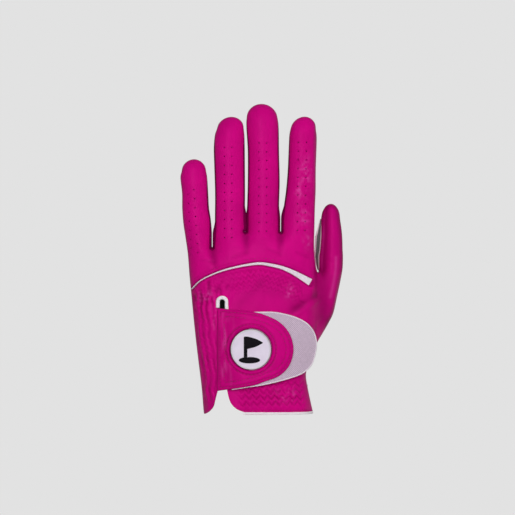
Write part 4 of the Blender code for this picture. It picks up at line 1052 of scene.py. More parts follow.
def back_relief(points, edge):
    """Outward height over the back of the glove, in mm, and its painted shade in folds, grooves and over
    the thumb.
    """
    x, z = points[:, 0], points[:, 1]
    signed, run, half = beside_trim(points)
    height = trim_bed(x, signed, half) + knuckle_gathers(points, signed, run, half)
    height += side_strip_folds(points) + cuff_gathers(points) + thumb_turn(x, z)
    below_fold, t = beside_fold(points)
    fades = window(t, -0.1, 0.25, 0.7, 1.25)
    height += (0.45 * bell(below_fold - 1.4, 1.5) - 0.6 * bell(below_fold + 1.7, 2.3)) * fades
    height += ridge(points, *THUMB_VALLEY, -0.4, 3.8, (1.1, 0.75))
    for line in BACK_RIDGES:
        height += ridge(points, *line)
    for crotch_x, crotch_z in CROTCHES:
        foot = (crotch_x * 0.93 + 0.4, crotch_z - 15.0)
        height += ridge(points, (crotch_x, crotch_z), foot, -0.75, 2.2, (1.2, 0.1))

    # Painted shade: in the grooves, beside the fold, along both edges of the trim, above the hem, in the
    # listed stretches, over the thumb and most on its inner flank, beside its seam and along its outer edge
    painted_shade = np.clip(-0.85 * height - 0.04, 0.0, 0.55) * (x < INDEX_SIDE)
    painted_shade += 0.3 * fades * bell(below_fold + 3.4, 3.4)
    beside = 0.5 * bell(signed - half - 0.45, 0.5) + 0.42 * bell(signed + half + 0.45, 0.5)
    painted_shade += beside * window(x, -43.0, -41.0, 33.0, TRIM_RIGHT)
    painted_shade += 0.26 * bell(z - 1.9, 0.5) * (x > -10.0)
    for line in BACK_SHADES:
        painted_shade += ridge(points, *line)
    painted_seam_shade = 0.55 * smoothstep(44.0, 62.0, z) * bell(x - 40.8, 4.7) * (z < 92.0)
    painted_shade += np.where(thumb_above(points), 0.16 + 0.62 * smoothstep(46.5, 39.0, x), painted_seam_shade)
    painted_shade += 0.34 * smoothstep(3.6, 0.8, edge) * (x > 42.0)

    height += 0.30 * waves(points, 13.0, 3.7) + 0.13 * waves(points, 5.5, 8.1)
    return height * smoothstep(0.0, EDGE_FADE, edge), np.clip(painted_shade, 0.0, 0.8)


def pale_patches_and_thumb_highlight(points):
    """Paler patches on the back, and a painted highlight along the thumb's ridge."""
    rubbed = np.zeros(len(points))
    for x, z, width, height in PALE_SPOTS:
        rubbed += np.exp(-(((points[:, 0] - x) / width) ** 2 + ((points[:, 1] - z) / height) ** 2))
    patchy = smoothstep(-0.15, 0.55, waves(points, 1.9, 31.0) + 0.5 * waves(points, 4.5, 17.0))
    off_ridge = distance_to(spline(THUMB_RIDGE, 2.0), points, False)
    return np.clip(rubbed, 0.0, 1.0) * patchy * 0.75 + 0.42 * bell(off_ridge, 0.75)


def palm_relief(points, edge):
    """Outward height over the palm, in mm, and its painted shade, darker in its grooves."""
    z = points[:, 1]
    height = 0.34 * waves(points, 14.0, 13.2) + 0.14 * waves(points, 5.0, 2.4)
    column = finger_of(points)
    for name in FINGER_NAMES:
        for rise, depth in KNUCKLE_LINES:
            line_z = FINGERS[name]["hinge_z"] + rise + 0.5 * waves(points, 8.0, rise)
            height -= depth * (column == name) * bell(z - line_z, 1.2)
    sway = 0.8 * waves(points, 16.0, 1.1)
    for start, end in PALM_LINES:
        height += ridge(points, start, end, -0.7, 1.7, (-0.05, 0.15), sway)
    height += ridge(points, *THUMB_VALLEY, -0.8, 1.6, (1.1, 0.75))
    for crotch_x, crotch_z in CROTCHES:
        foot = (crotch_x * 0.93, crotch_z - 10.0)
        height += ridge(points, (crotch_x, crotch_z), foot, -0.6, 1.8, (1.2, 0.1))
    return height * smoothstep(0.0, EDGE_FADE, edge), np.clip(-0.3 * height, 0.0, 0.3)


# ---------------------------------------------------------------- leather skins


def finger_of(points):
    """The name of each point's finger, by its x."""
    names = np.array(FINGER_NAMES)
    return names[np.searchsorted([x for x, z in CROTCHES], points[:, 0])]


def thumb_above(points):
    """Points beside the index finger that belong to the thumb."""
    x, z = points[:, 0], points[:, 1]
    return (z > THUMB_CROTCH[1]) & (z < 135.0) & (x > 36.45 + 0.11 * np.maximum(97.0 - z, 0.0))


def slit_loop(half_width, step=EDGE_STEP):
    """The slit's two sides and its round top, from foot to foot."""
    top = SLIT_TOP - SLIT_HALF
    left, right = SLIT_X - half_width, SLIT_X + half_width
    turns = np.radians(np.linspace(180, 0, 17))
    bend = np.stack([SLIT_X + half_width * np.cos(turns), top + half_width * np.sin(turns)], axis=1)
    up = dense_line([(left, BINDING_FOOT), (left, top)], step)
    down = dense_line([(right, top), (right, BINDING_FOOT)], step)
    return np.concatenate([up[:-1], bend, down[1:]])


def slit_opening():
    """The slit and the notch below it, between the side strip's tail and the cuff."""
    half = SLIT_HALF + SLIT_ALLOWANCE
    tail = spline([(SLIT_X - half, BINDING_FOOT)] + TAIL_CORNER, 0.8)[1:]
    cuff = spline([(SLIT_X + half, BINDING_FOOT)] + CUFF_CORNER, 0.8)[1:]
    return np.concatenate([[(-33.7, -2.0)], tail[::-1], slit_loop(half), cuff, [(-8.0, -2.0)]])


def palm_hem_z(x):
    """z of the palm's wrist edge."""
    return 16.5 + 3.5 * ((x - 32.0) / 68.0) ** 2


def perforations():
    """Centres of the air holes on the back of the fingers."""
    centres = []
    for start, end, count in HOLE_COLUMNS:
        start, end = np.array(start), np.array(end)
        centres += [start + (end - start) * t for t in np.arange(count) / (count - 1)]
    return centres


def thumb_seam_frame():
    """The thumb seam's ends, its direction and the direction across it towards the thumb."""
    start, end = THUMB_SEAM
    along = (end - start) / np.linalg.norm(end - start)
    return start, end, along, np.array([along[1], -along[0]])


def seam_distance(points):
    """Distance from the thumb seam's line, positive towards the thumb."""
    start, _, _, across = thumb_seam_frame()
    return (points - start) @ across


def cut_lines():
    """Where the hand's skin hands over to each finger's and to the thumb's."""
    bounds = [-60.0] + [x for x, z in CROTCHES] + [36.4]
    lines = []
    for name, low, high in zip(FINGER_NAMES, bounds[:-1], bounds[1:]):
        z = FINGERS[name]["hinge_z"] - BLEND_BELOW
        lines.append(dense_line([(low, z), (high, z)]))
    for x, z in CROTCHES:
        lines.append(dense_line([(x, z - 3.0), (x, z)]))
    start, end, along, across = thumb_seam_frame()
    beside = across * THUMB_BLEND[0]
    lines.append(dense_line([start - along * 5 + beside, end + along * 0.2 + beside]))
    return lines


def blend_finger(piece):
    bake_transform(piece)


def blend_thumb(piece):
    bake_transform(piece)


def rim_excess(points, edge):
    """How far a skin has to come in so that back and palm meet where the outline curves inwards."""
    outline = glove_outline(EDGE_STEP)
    closed = (outline[:, 2] < 0.02) & (outline[:, 1] > 0.5)
    tree = KDTree(len(outline))
    for i, (x, z, _) in enumerate(outline):
        tree.insert((x, z, 0.0), i)
    tree.balance()
    too_high = SHAPE.sample(outline[:, :2])[0] * closed
    excess = np.zeros(len(points))
    for i in np.flatnonzero(edge < 4.0):
        excess[i] = too_high[tree.find((points[i, 0], points[i, 1], 0.0))[1]]
    height = SHAPE.sample(points)[0]
    lowered = np.maximum(height - excess * smoothstep(4.0, 0.5, edge), 0.0)
    return np.sqrt(height) - np.sqrt(lowered)


def gathered(points):
    """The stretches under the trim, on the side strip and on the cuff, which need a finer mesh."""
    signed, _, half = beside_trim(points)
    below = -signed - half
    x, z = points[:, 0], points[:, 1]
    under_trim = (below > 1.0) & (below < 19.0) & (x < 31.0) & (z > 62.0)
    on_strip = (z > 2.0) & (z < 78.0) & (x < -25.4)
    return under_trim | on_strip | ((z > 3.0) & (z < 26.0) & (x > -16.0) & (x < 30.5))


def back_grid(loop, cut):
    """Mesh points inside the back's outline, closer together in the gathers."""
    grid = grid_points(loop, GRID_STEP, GRID_MARGIN)
    grid = grid[distance_to(cut, grid) > 0.45]
    fine = grid_points(loop, FINE_STEP, GRID_MARGIN)
    fine = fine[gathered(fine) & (distance_to(cut, fine) > 0.45)]
    return np.concatenate([grid[~gathered(grid)], fine])


def palm_grid(loop):
    grid = grid_points(loop, GRID_STEP, GRID_MARGIN)
    return grid[np.abs(grid[:, 1] - palm_hem_z(grid[:, 0]) - HEM_OVERLAP) > 0.4]


def skin_zones(middles, hand):
    """Which triangles belong to the hand, the thumb and each finger; hand marks where the hand may be."""
    x, z = middles[:, 0], middles[:, 1]
    seam = (z <= THUMB_CROTCH[1]) & (z > 40.0) & (seam_distance(middles) > THUMB_BLEND[0])
    thumb = thumb_above(middles) | seam
    column = finger_of(middles)
    hinge = np.array([FINGERS[name]["hinge_z"] for name in column])
    finger = ~thumb & (z > hinge - BLEND_BELOW)
    zones = {"hand": ~thumb & ~finger & hand, "thumb": thumb}
    for name in FINGER_NAMES:
        zones[name] = finger & (column == name)
    return zones


def skin_plan(loop, cut, holes, on_back):
    """The flat mesh of one side's leather, with edges along its hand-over lines, its slit and its holes."""
    lines = cut_lines()
    if on_back:
        lines.append(np.concatenate([cut, cut[:1]]))
        grid = back_grid(loop, cut)
    else:
        hem_x = np.arange(-48.0, 40.0, 0.9)
        lines.append(np.stack([hem_x, palm_hem_z(hem_x) + HEM_OVERLAP], axis=1))
        grid = palm_grid(loop)
    for line in lines:
        grid = grid[distance_to(line, grid, False) > 0.4]
    for centre in holes:
        grid = grid[np.linalg.norm(grid - centre, axis=1) > 1.05]
    collars = [circle(centre, 0.62, 8) for centre in holes]
    rims = [circle(centre, HOLE_RADIUS, 8) for centre in holes]
    inner_points = np.concatenate([ring_points(loop, EDGE_RINGS)] + collars + [grid])
    return triangulate([loop] + rims, lines, inner_points)


def leather_skins(side):
    """The skins of the hand, the fingers and the thumb on the back (side -1) or the palm (side +1)."""
    on_back = side < 0
    title = "back" if on_back else "palm"
    loop = sheet_outline(EDGE_STEP)
    cut = slit_opening()
    holes = perforations() if on_back else []
    flat, triangles = skin_plan(loop, cut, holes, on_back)
    edge = distance_to(loop, flat)
    spots, normals = SHAPE.surface(flat, side)
    spots[:, 1] -= side * rim_excess(flat, edge)
    # Relief with its painted shade; on the back also paler patches and a painted highlight along the thumb
    relief, painted_shade = back_relief(flat, edge) if on_back else palm_relief(flat, edge)
    pale_patch_and_highlight = pale_patches_and_thumb_highlight(flat) if on_back else np.zeros(len(flat))
    # Each air hole sinks a little, with painted shade round it
    for centre in holes:
        away = np.linalg.norm(flat - centre, axis=1)
        relief -= 0.16 * bell(away, 0.75)
        painted_shade += 0.2 * bell(away, 0.6)
    outer = spots + normals * relief[:, None]
    inner = outer - normals * LEATHER
    if not on_back:
        triangles = triangles[:, ::-1]
    smooth = vertex_normals(outer, triangles)

    middles = flat[triangles].mean(axis=1)
    if on_back:
        hand = ~inside(cut, middles)
        hand_solids = ("knuckle_panel", "back_panel")
    else:
        hand = middles[:, 1] > palm_hem_z(middles[:, 0]) + HEM_OVERLAP
        hand_solids = ("palm_panel",)
    for name, rows in skin_zones(middles, hand).items():
        used, chosen = compact(flat, triangles[rows])
        piece = shell(f"{name}_{title}_skin", outer[used], inner[used], chosen,
                      ["pink_leather", "suede_inside"], smooth[used])
        # These attributes carry the painted shade, the paler patches and the painted highlight into the
        # colour
        mark(piece, "painted_shade", painted_shade[used])
        mark(piece, "pale_patch_and_highlight", pale_patch_and_highlight[used])
        if name == "hand":
            settle(piece, "pink_leather", "hand", *hand_solids)
            continue
        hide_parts(f"{name}_{title}")
        if name == "thumb":
            blend_thumb(piece)
        else:
            blend_finger(piece)


# ---------------------------------------------------------------- walls between back and palm


def wall_strip(name, rows, normals, bulge, looks, profile, levels=9):
    """A side wall along rows of the outline, between the back's and the palm's edges.

    bulge is how far it stands out at each row, times the profile across it.
    """
    inset = FOURCHETTE_INSET * rows[:, 2]
    edge = rows[:, :2] + normals * inset[:, None]
    reach = np.sqrt(SHAPE.sample(edge)[0]) + 0.02
    middle = SHAPE.middle(edge)
    outer = []
    inner = []
    for level in np.linspace(-1.0, 1.0, levels):
        across = normals * (inset * level**2 - bulge * profile(level))[:, None]
        outer.append(with_y(rows[:, :2] + across, middle + reach * level))
        lean = WALL_LEAN * level
        inner.append(outer[-1] - with_y(-normals, lean) / math.hypot(1.0, lean) * WALL_THICKNESS)
    return strip(name, outer, inner, looks)


def finger_wall(name, side, loop, normals, wide):
    """One finger's wall, with the web that bridges the gap down at the crotch."""
    finger = FINGERS[name]
    centre = finger["stations"][2][1]
    if side == "left":
        crotch_x, crotch_z = CROTCHES[FINGER_NAMES.index(name) - 1]
        low, high = crotch_x - 0.01, centre
    else:
        crotch_x, crotch_z = CROTCHES[FINGER_NAMES.index(name)]
        low, high = centre, crotch_x + 0.01
    x, z = loop[:, 0], loop[:, 1]
    chosen = np.flatnonzero(wide & (x >= low) & (x <= high) & (z > crotch_z - 0.1))
    room = np.abs(x[chosen] - crotch_x)
    web = np.minimum(np.where(room < 0.5, 1.4, 0.9 * room - 0.12), WEB_REACH)
    web *= smoothstep(crotch_z + WEB_HEIGHT, crotch_z + 0.5 * WEB_HEIGHT, z[chosen])
    # The wall takes the darker leather, painted shade for its place between the fingers
    piece = wall_strip(f"{name}_wall_{side}", loop[chosen], normals[chosen], web,
                       ["fourchette", "suede_inside"], lambda level: 1.0 - level**2)
    solid = f"{name}_fourchette"
    if len(finger["fourchettes"]) > 1:
        solid += f"_{side}"
    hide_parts(solid)
    blend_finger(piece)


def gusset_profile(level):
    return math.exp(-(((level - 0.5) / 0.4) ** 2)) * math.sqrt(1.0 - level**2)


def thumb_gusset(loop, normals, wide):
    """The thumb's pale mesh wall, with a band of painted shade between its two lips."""
    chosen = np.flatnonzero(thumb_above(loop[:, :2]) & wide & (loop[:, 0] < 43.0))
    bulge = np.interp(loop[chosen][:, 1], *zip(*GUSSET_REACH))
    piece = wall_strip("thumb_gusset_mesh", loop[chosen], normals[chosen], bulge,
                       ["bright_tape", "painted_shade_mesh", "suede_inside"], gusset_profile, GUSSET_LEVELS)
    across = np.linspace(-1.0, 1.0, GUSSET_LEVELS)
    middles = (across[:-1] + across[1:]) / 2
    banded = (middles > GUSSET_BAND[0]) & (middles < GUSSET_BAND[1])
    dark = np.repeat(np.tile(banded, len(chosen) - 1), 2)
    slots = np.empty(len(piece.data.polygons), np.int32)
    piece.data.polygons.foreach_get("material_index", slots)
    slots[: len(dark)][dark] = 1
    piece.data.polygons.foreach_set("material_index", slots)
    settle(piece, "grey_mesh", "thumb", "thumb_gusset")


def side_walls():
    """The fourchettes between the fingers, split at each crotch, and the thumb's gusset."""
    loop = glove_outline(EDGE_STEP)
    normals = inward_normals(loop)
    wide = loop[:, 2] > 0.02
    on_thumb = thumb_above(loop[:, :2]) | ((loop[:, 0] > 36.6) & (loop[:, 1] < 92.0))
    for name in FINGER_NAMES:
        for side in FINGERS[name]["fourchettes"]:
            finger_wall(name, side, loop, normals, wide & ~on_thumb)
    thumb_gusset(loop, normals, wide)


# ---------------------------------------------------------------- trims and inner tapes


def back_surface(points):
    return SHAPE.surface(points, -1)


def palm_surface(points):
    return SHAPE.surface(points, 1)


def row_at(x_low, x_high, step, z):
    """A level row of points."""
    xs = np.arange(x_low, x_high, step)
    return np.stack([xs, np.full(len(xs), z)], axis=1)


def trims():
    """The knuckle trim, the slit's binding and the two hems."""
    trim = spline(TRIM, 0.22)
    trim = trim[trim[:, 0] > -42.0]
    binding = slit_loop(BINDING_MIDDLE, 0.5)
    binding = binding[(binding[:, 0] > SLIT_X) | (binding[:, 1] > BINDING_LEFT_FOOT)]
    cuff_hem = dense_line([(-9.6, 0.82), (33.9, 0.72)], 0.4)
    palm_hem = row_at(-35.0, 31.0, 0.5, PALM_HEM_HALF)
    palm_hem[:, 1] += palm_hem_z(palm_hem[:, 0])
    tapes = [
        ("knuckle_trim", trim[:, :2], trim[:, 2], 0.28, "white_trim", (0.95, 0.08), 13, 0.55, back_surface),
        ("slit_binding", binding, BINDING_HALF, 0.85, "bright_tape", (0.9, 0.05), 11, 0.8, back_surface),
        ("cuff_hem", cuff_hem, 0.74, 0.28, "bright_tape", (0.9, 0.05), 9, 0.6, back_surface),
        ("palm_hem", palm_hem, PALM_HEM_HALF, 0.4, "white_trim", (0.9, 0.05), 9, 0.9, palm_surface),
    ]
    for solid, centre, half, lift, look, ribs, levels, depth, base in tapes:
        piece = ribbon(f"{solid}_tape", centre, half, lift, look, ribs, levels, depth, base)
        settle(piece, "white_trim", "hand", solid)


def hand_stitches():
    """The stitched rows above the trim and above the cuff's hem."""
    above = TRIM_CURVE[:, :2] + left_of(TRIM_CURVE[:, :2]) * (TRIM_CURVE[:, 2:3] + TRIM_STITCHES)
    above = above[(above[:, 0] > -41.0) & (above[:, 0] < 32.0)]
    runs = []
    for row, depth in ((above, 0.22), (row_at(-11.0, 32.0, 0.8, HEM_STITCHES), 0.18)):
        spots, normals = back_surface(row)
        runs.append((spots - normals * depth, normals))
    settle(stitches("hand_stitches", runs, pitch=2.2, length=1.5, radius=0.17), "pink_leather", "hand")


def inner_tapes():
    """Elastic tapes sewn inside the gathered stretches."""
    crest_x, crest_z, _ = zip(*TRIM)
    xs = np.linspace(-12.0, 30.0, 24)
    crest = np.stack([xs, np.interp(xs, crest_x, crest_z)], axis=1)
    loops = {
        "knuckle_elastic": np.concatenate([crest - [0.0, 4.5], (crest - [0.0, 14.5])[::-1]]),
        "side_elastic": dense_line(SIDE_ELASTIC + SIDE_ELASTIC[:1], 1.5)[:-1],
        "cuff_elastic": dense_line(CUFF_ELASTIC + CUFF_ELASTIC[:1], 1.5)[:-1],
    }
    for name, loop in loops.items():
        flat, triangles = filled([loop], grid_points(loop, 1.4, 0.5))
        spots, normals = back_surface(flat)
        ribs = 0.1 * np.cos(TURN * flat[:, 1] / 2.8)
        outer = spots - normals * (LEATHER + 0.75 - ribs)[:, None]
        inner = spots - normals * (LEATHER + 1.35 + ribs)[:, None]
        settle(shell(f"{name}_tape", outer, inner, triangles, ["elastic"]), "elastic", "hand", name)


# ---------------------------------------------------------------- tab and ball marker

FLAT_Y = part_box("marker_socket")[1].y / MM + 3.6


def tab_y(points):
    """y of the surface that the tab lies on."""
    held = points.copy()
    held[:, 0] = np.minimum(points[:, 0], TAB_BEND_X)
    y = SHAPE.surface(held, -1, SEAM_GAP / 2)[0][:, 1]
    slope = y - SHAPE.surface(held - [1.0, 0.0], -1, SEAM_GAP / 2)[0][:, 1]
    past = np.maximum(points[:, 0] - TAB_BEND_X, 0.0)
    y = y + np.clip(slope, 0.0, 0.3) * past + TAB_BEND * past**2
    share = smoothstep(24.0, 15.0, from_marker(points))
    return np.minimum(y, y * (1 - share) + FLAT_Y * share)


def from_marker(points):
    """Distance from the marker's axis."""
    return np.linalg.norm(points - MARKER_CENTRE, axis=1)


def tab_loop():
    """The tab's outline, clockwise from the top of its sewn edge."""
    corners = [(TAB_LEFT, TAB_TOP), (TAB_LEFT, TAB_FOOT)]
    curve = spline(corners[:1] + TAB_RIGHT_CURVE + corners[1:], EDGE_STEP)
    return np.concatenate([curve, dense_line(corners[::-1])[1:-1]])


def leather_lift(points):
    """How far the tab's leather stands off: it starts at the sewn edge and rises over the backing."""
    return 0.4 + TAB_RISE * smoothstep(-24.0, -9.0, points[:, 0])


def under_leather(points):
    """The tab's lift less its full lift, which is zero or below."""
    return leather_lift(points) - 0.4 - TAB_RISE


def checks(points, pitch):
    """A woven checker pattern from -1 to 1."""
    return np.sin(TURN * points[:, 0] / pitch) * np.sin(TURN * points[:, 1] / pitch)


def layer(name, loops, points, low, high, look, slot, body, solid):
    """A layer of the tab between two heights outwards from the tab's surface."""
    flat, triangles = filled(loops, points)
    base = tab_y(flat)
    piece = shell(name, with_y(flat, base - high(flat)), with_y(flat, base - low(flat)), triangles, [look])
    settle(piece, slot, body, solid)
    return piece, flat


def crowned(loop, points, height, width):
    """A height that rounds off to half over a width along the loop."""
    edge = np.clip(distance_to(loop, points) / width, 0.0, 1.0)
    return height - 0.5 * height * (1.0 - np.sqrt(edge * (2.0 - edge)))


def tab_relief(points, loop):
    """Height of the tab's leather above its lift: stitched grooves, the ring and the gathers."""
    x, z = points[:, 0], points[:, 1]
    edge = distance_to(loop, points)
    radius = from_marker(points)
    height = 1.25 + 0.16 * waves(points, 9.0, 21.0)
    height -= 0.7 * (1.0 - np.sqrt(np.clip(edge / 1.1, 0.0, 1.0)))
    for row in TAB_ROWS:
        height -= 0.2 * bell(edge - row, 0.42)
    height += 0.14 * bell(edge - TAB_PUFF, 0.9)
    height += 0.45 * bell(radius - 14.6, 0.6) - 0.28 * bell(radius - TAB_RING, 0.55)
    height -= 0.5 * smoothstep(14.1, 13.0, radius)
    gather = smoothstep(-16.0, -20.0, x) * window(z, 18.0, 24.0, 58.0, 63.0)
    swayed = x + 0.7 * waves(points, 11.0, 7.0, (0.1, 1.0))
    return height + gather * 0.2 * np.cos(TURN * swayed / 3.0)


def tab_shade_and_highlight(points, loop):
    """Painted shade along the tab's stitch rows, its edge and round its window, and pale streaks at its
    sewn end, scuffs that also brighten that stretch as painted light.
    """
    edge = distance_to(loop, points)
    radius = from_marker(points)
    painted_shade = 0.24 * bell(edge - TAB_ROWS[0], 0.5) + 0.06 * bell(edge - TAB_ROWS[1], 0.5)
    painted_shade += 0.3 * smoothstep(0.9, 0.0, edge)
    painted_shade += 0.34 * bell(radius - TAB_RING, 0.6) + 0.3 * smoothstep(14.0, 13.0, radius)
    swayed = points[:, 0] + 1.3 * waves(points, 9.0, 7.0, (0.1, 1.0))
    streaks = smoothstep(-0.1, 0.5, waves(points, 1.8, 51.0, (1.0, 0.22)))
    pale_patch_and_highlight = streaks * (0.6 * bell(swayed + 21.3, 1.3) + 0.2 * bell(swayed + 18.5, 3.5))
    return np.clip(painted_shade, 0.0, 0.7), pale_patch_and_highlight * smoothstep(1.0, 3.0, edge)


def on_tab(points, lift):
    """Points on the tab's leather and their outward normals."""
    step = 0.5
    right = points + [step, 0.0]
    y = tab_y(points)
    slope_x = (tab_y(right) - leather_lift(right) - y + leather_lift(points)) / step
    slope_z = (tab_y(points + [0.0, step]) - y) / step
    normals = unit(np.stack([slope_x, -np.ones(len(points)), slope_z], axis=1))
    return with_y(points, y - leather_lift(points) - lift), normals


def tab_leather(loop):
    """The tab's pink leather, with the window for the marker."""
    rings = [about_marker(radius) for radius in WINDOW_RINGS]
    grid = grid_points(loop, 0.8, 3.0)
    edges = ring_points(loop, (0.12, 0.35, 0.7, 1.1, 1.5, 2.0, 2.5))
    clear = [points[from_marker(points) > WINDOW_RINGS[-1] + 0.4] for points in (grid, edges)]
    loops = [loop, about_marker(WINDOW_RADIUS)]
    piece, flat = layer("tab_leather_skin", loops, np.concatenate(rings + clear), leather_lift,
                        lambda p: leather_lift(p) + tab_relief(p, loop),
                        "pink_leather", "pink_leather", "tab", "tab_leather")
    # Painted shade and the pale streaks, partly painted light, on the tab's leather
    painted_shade, pale_patch_and_highlight = tab_shade_and_highlight(flat, loop)
    mark(piece, "painted_shade", painted_shade)
    mark(piece, "pale_patch_and_highlight", pale_patch_and_highlight)


def tab_backing():
    """The pale mesh crescent behind the tab, with a thin lower edge that runs on under the leather."""
    (foot_x, foot_z), (top_x, top_z) = BACKING_CURVE[-1], BACKING_CURVE[0]
    back_edge = dense_line([(foot_x, foot_z), (foot_x, foot_z + 5.3), (top_x, 24.0), (top_x, top_z)], 0.8)
    backing = np.concatenate([spline(BACKING_CURVE, 0.8), back_edge[1:-1]])
    points = np.concatenate([ring_points(backing, (0.15, 0.4, 0.8)), grid_points(backing, 0.55, 1.1)])

    def weave(p):
        edge = distance_to(backing, p)
        ribs = 0.07 * checks(p, 1.5) * smoothstep(0.8, 2.0, edge)
        lip = 0.22 * bell(edge - 0.9, 0.45)
        return 2.5 + crowned(backing, p, 0.9, 0.9) + ribs + lip + under_leather(p)

    def on_backing(p):
        return with_y(p, tab_y(p) - 3.25 - under_leather(p)), np.tile([0.0, -1.0, 0.0], (len(p), 1))

    layer("tab_backing_mesh", [backing], points, lambda p: 2.45 + under_leather(p), weave,
          "grey_mesh", "grey_mesh", "tab", "tab_backing")
    edge_line = spline(BACKING_CURVE, 0.5)[4:-2]
    edge_line = edge_line - 0.1 * left_of(edge_line)
    binding = ribbon("tab_backing_binding", edge_line, 0.42, 0.34, "white_trim", (0.9, 0.04), 9, 0.5,
                     on_backing)
    settle(binding, "white_trim", "tab")


def closure_patches():
    """The hook strip on the tab and the loop pile on the hand that it grips."""
    hook = spline(HOOK_OUTLINE, 0.8, True)
    layer("hook_strip", [hook], grid_points(hook, 0.5, 0.4),
          lambda p: 1.45 + 0.25 * (checks(p, 1.2) < -0.2), lambda p: np.full(len(p), 2.2),
          "hook_plastic", "hook_plastic", "tab", "hook_patch")
    pile = spline(PILE_OUTLINE, 0.8, True)
    layer("loop_pile", [pile], grid_points(pile, 0.7, 0.5), lambda p: np.full(len(p), 0.15),
          lambda p: 0.3 + crowned(pile, p, 0.85, 1.2) + 0.16 * waves(p, 0.9, 4.0),
          "loop_fabric", "loop_fabric", "hand", "loop_patch")


def tab_stitches(loop):
    """The two stitched rows inside the tab's edge and the one round its window."""
    runs = []
    normals = inward_normals(loop)
    for row in TAB_ROWS:
        line = loop + normals * row
        line = line[(distance_to(loop, line) > 0.97 * row) & inside(loop, line)]
        gaps = np.linalg.norm(np.diff(np.concatenate([line, line[:1]]), axis=0), axis=1)
        line = np.roll(line, -int(np.argmax(gaps)) - 1, axis=0)
        runs.append(on_tab(line, 1.12))
    ring = about_marker(TAB_RING)
    runs.append(on_tab(np.concatenate([ring, ring[:1]]), 1.05))
    settle(stitches("tab_stitches", runs), "pink_leather", "tab")


def emblem_loop():
    """A plain golf flag on its pole, which stands on a small oval green."""
    x, z = MARKER_CENTRE
    left, right, foot, top = x - 4.4, x - 2.2, z - 5.9, z + 8.1
    upper = spline([(right, top), (x + 3.2, z + 6.6), (x + 7.4, z + 4.4)], 0.5)
    lower = spline([(x + 7.4, z + 4.0), (x + 3.2, z + 1.8), (right, z + 0.3)], 0.5)
    green = []
    for degrees in range(90, -270, -6):
        turn = math.radians(degrees)
        point = (x - 0.9 + 6.6 * math.cos(turn), foot - 0.7 + 2.0 * math.sin(turn))
        under_pole = left - 0.1 < point[0] < right + 0.1 and point[1] > foot - 0.7
        if not under_pole:
            green.append(point)
    pole = [(left, foot + 1.0), (left, top - 0.5), (left + 0.5, top)]
    return np.concatenate([pole, upper, lower, [(right, foot + 1.0)], green])


def marker_pieces():
    """The white disc with its raised rim, and the flag emblem on its face."""
    back = FLAT_Y - 4.7
    face = back - MARKER_THICKNESS
    r = MARKER_RADIUS
    profile = [(0, back), (r - 0.35, back), (r - 0.1, back - 0.1), (r, back - 0.35), (r, face + 0.4),
               (r - 0.12, face + 0.12), (r - 0.4, face), (r - 0.75, face), (r - 0.95, face + 0.14),
               (r - 1.3, face + 0.16), (0, face + 0.1)]
    disc = lathe("ball_marker_disc", profile, ["marker_rim", "white_enamel"], [0] * 7 + [1] * 2)
    settle(disc, "white_enamel", "marker", "ball_marker")
    loop = emblem_loop()
    flat, triangles = filled([loop], grid_points(loop, 0.6, 0.25))
    bevel = 0.16 * (1.0 - smoothstep(0.0, 0.35, distance_to(loop, flat)))
    emblem = shell("marker_flag_emblem", with_y(flat, face - 0.22 + bevel), with_y(flat, face + 0.12),
                   triangles, ["black_enamel"])
    settle(emblem, "black_enamel", "marker", "marker_emblem")


def bare_solids():
    """The socket and its magnet show as they are, with detailed materials."""
    for name, look in (("marker_socket", "socket_plastic"), ("magnet", "magnet_steel")):
        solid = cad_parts[name]
        solid.data.materials.clear()
        solid.data.materials.append(LOOKS[look])


# ---------------------------------------------------------------- light, floor and camera

BACKGROUND = (0.7605, 0.7605, 0.7605, 1.0)
FLOOR_RADIUS = 1.6
FLOOR_Z = -0.0012
AIM = Vector((0.0, 0.0, 0.095))


def add_object(name, data, spot=(0.0, 0.0, 0.0)):
    made = bpy.data.objects.new(name, data)
    made.location = spot
    bpy.context.scene.collection.objects.link(made)
    return made


def camera_mix(tree, unseen, seen, target):
    """Shows one shader to the camera's own rays and another to all the others."""
    mix = tree.nodes.new("ShaderNodeMixShader")
    path = tree.nodes.new("ShaderNodeLightPath")
    tree.links.new(path.outputs["Is Camera Ray"], mix.inputs["Fac"])
    tree.links.new(unseen.outputs[0], mix.inputs[1])
    tree.links.new(seen.outputs[0], mix.inputs[2])
    tree.links.new(mix.outputs[0], tree.nodes.new(target).inputs["Surface"])


def backdrop():
    """A plain pale background that the camera sees and a dim white fill light."""
    world = bpy.data.worlds.new("studio")
    bpy.context.scene.world = world
    world.use_nodes = True
    tree = world.node_tree
    tree.nodes.clear()
    fill = node(tree, "ShaderNodeBackground", Color=(1.0, 1.0, 1.0, 1.0), Strength=0.17)
    seen = node(tree, "ShaderNodeBackground", Color=BACKGROUND)
    camera_mix(tree, fill, seen, "ShaderNodeOutputWorld")


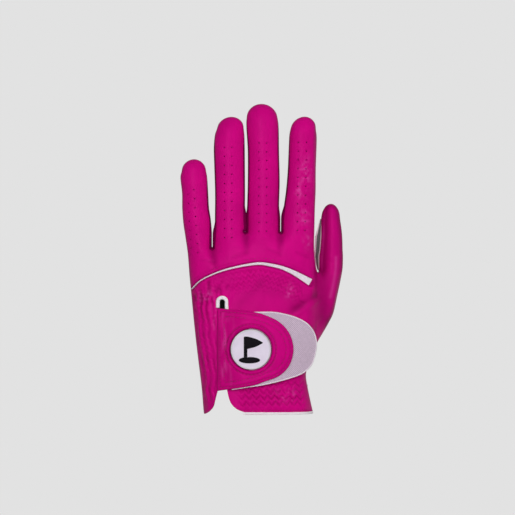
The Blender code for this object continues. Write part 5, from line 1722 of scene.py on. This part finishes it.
def softbox(name, spot, size, size_y, power, shines=False):
    """An area light aimed at the middle of the glove; only a shining one shows in reflections."""
    data = bpy.data.lights.new(name, "AREA")
    data.energy = power
    data.shape = "RECTANGLE"
    data.size = size
    data.size_y = size_y
    lamp = add_object(name, data, spot)
    lamp.visible_glossy = shines
    lamp.rotation_euler = (AIM - Vector(spot)).to_track_quat("-Z", "Y").to_euler()


def floor():
    """A plain pale disc under the glove."""
    mesh = bpy.data.meshes.new("floor")
    turns = np.linspace(0, TURN, 97)[:-1]
    rim = [(FLOOR_RADIUS * math.cos(t), FLOOR_RADIUS * math.sin(t), FLOOR_Z) for t in turns]
    mesh.from_pydata(rim, [], [list(range(len(rim)))])
    look = bpy.data.materials.new("pale_floor")
    look.use_nodes = True
    tree = look.node_tree
    tree.nodes.clear()
    matt = node(tree, "ShaderNodeBsdfDiffuse", Color=(0.6, 0.6, 0.6, 1.0))
    glow = node(tree, "ShaderNodeEmission", Color=BACKGROUND)
    camera_mix(tree, matt, glow, "ShaderNodeOutputMaterial")
    mesh.materials.append(look)
    add_object("floor", mesh)


def camera():
    """A long lens that looks straight at the back of the hand."""
    scene = bpy.context.scene
    lens = bpy.data.cameras.new("camera")
    lens.lens = 200.0
    lens.sensor_width = 36.0
    lens.clip_start = 0.05
    lens.clip_end = 20.0
    scene.camera = add_object("camera", lens, (-0.0006, -1.794, 0.0978))
    scene.camera.rotation_euler = (math.radians(90.0), 0.0, 0.0)
    scene.view_settings.view_transform = "Standard"
    scene.view_settings.look = "None"


leather_skins(-1)
leather_skins(1)
side_walls()
trims()
hand_stitches()
inner_tapes()
TAB_OUTLINE = tab_loop()
tab_leather(TAB_OUTLINE)
tab_backing()
closure_patches()
tab_stitches(TAB_OUTLINE)
bare_solids()
marker_pieces()
backdrop()
softbox("key_softbox", (0.45, -1.40, 0.50), 0.7, 1.1, 10.9)
softbox("streak_softbox", (-0.26, -1.40, 0.30), 0.09, 0.9, 5.0, shines=True)
softbox("right_softbox", (1.0, -0.75, 0.3), 0.35, 1.0, 1.2)
softbox("left_softbox", (-0.9, -1.0, 0.25), 0.3, 1.0, 2.0)
softbox("palm_softbox", (0.2, 1.3, 0.6), 0.9, 0.9, 9.0)
floor()
camera()
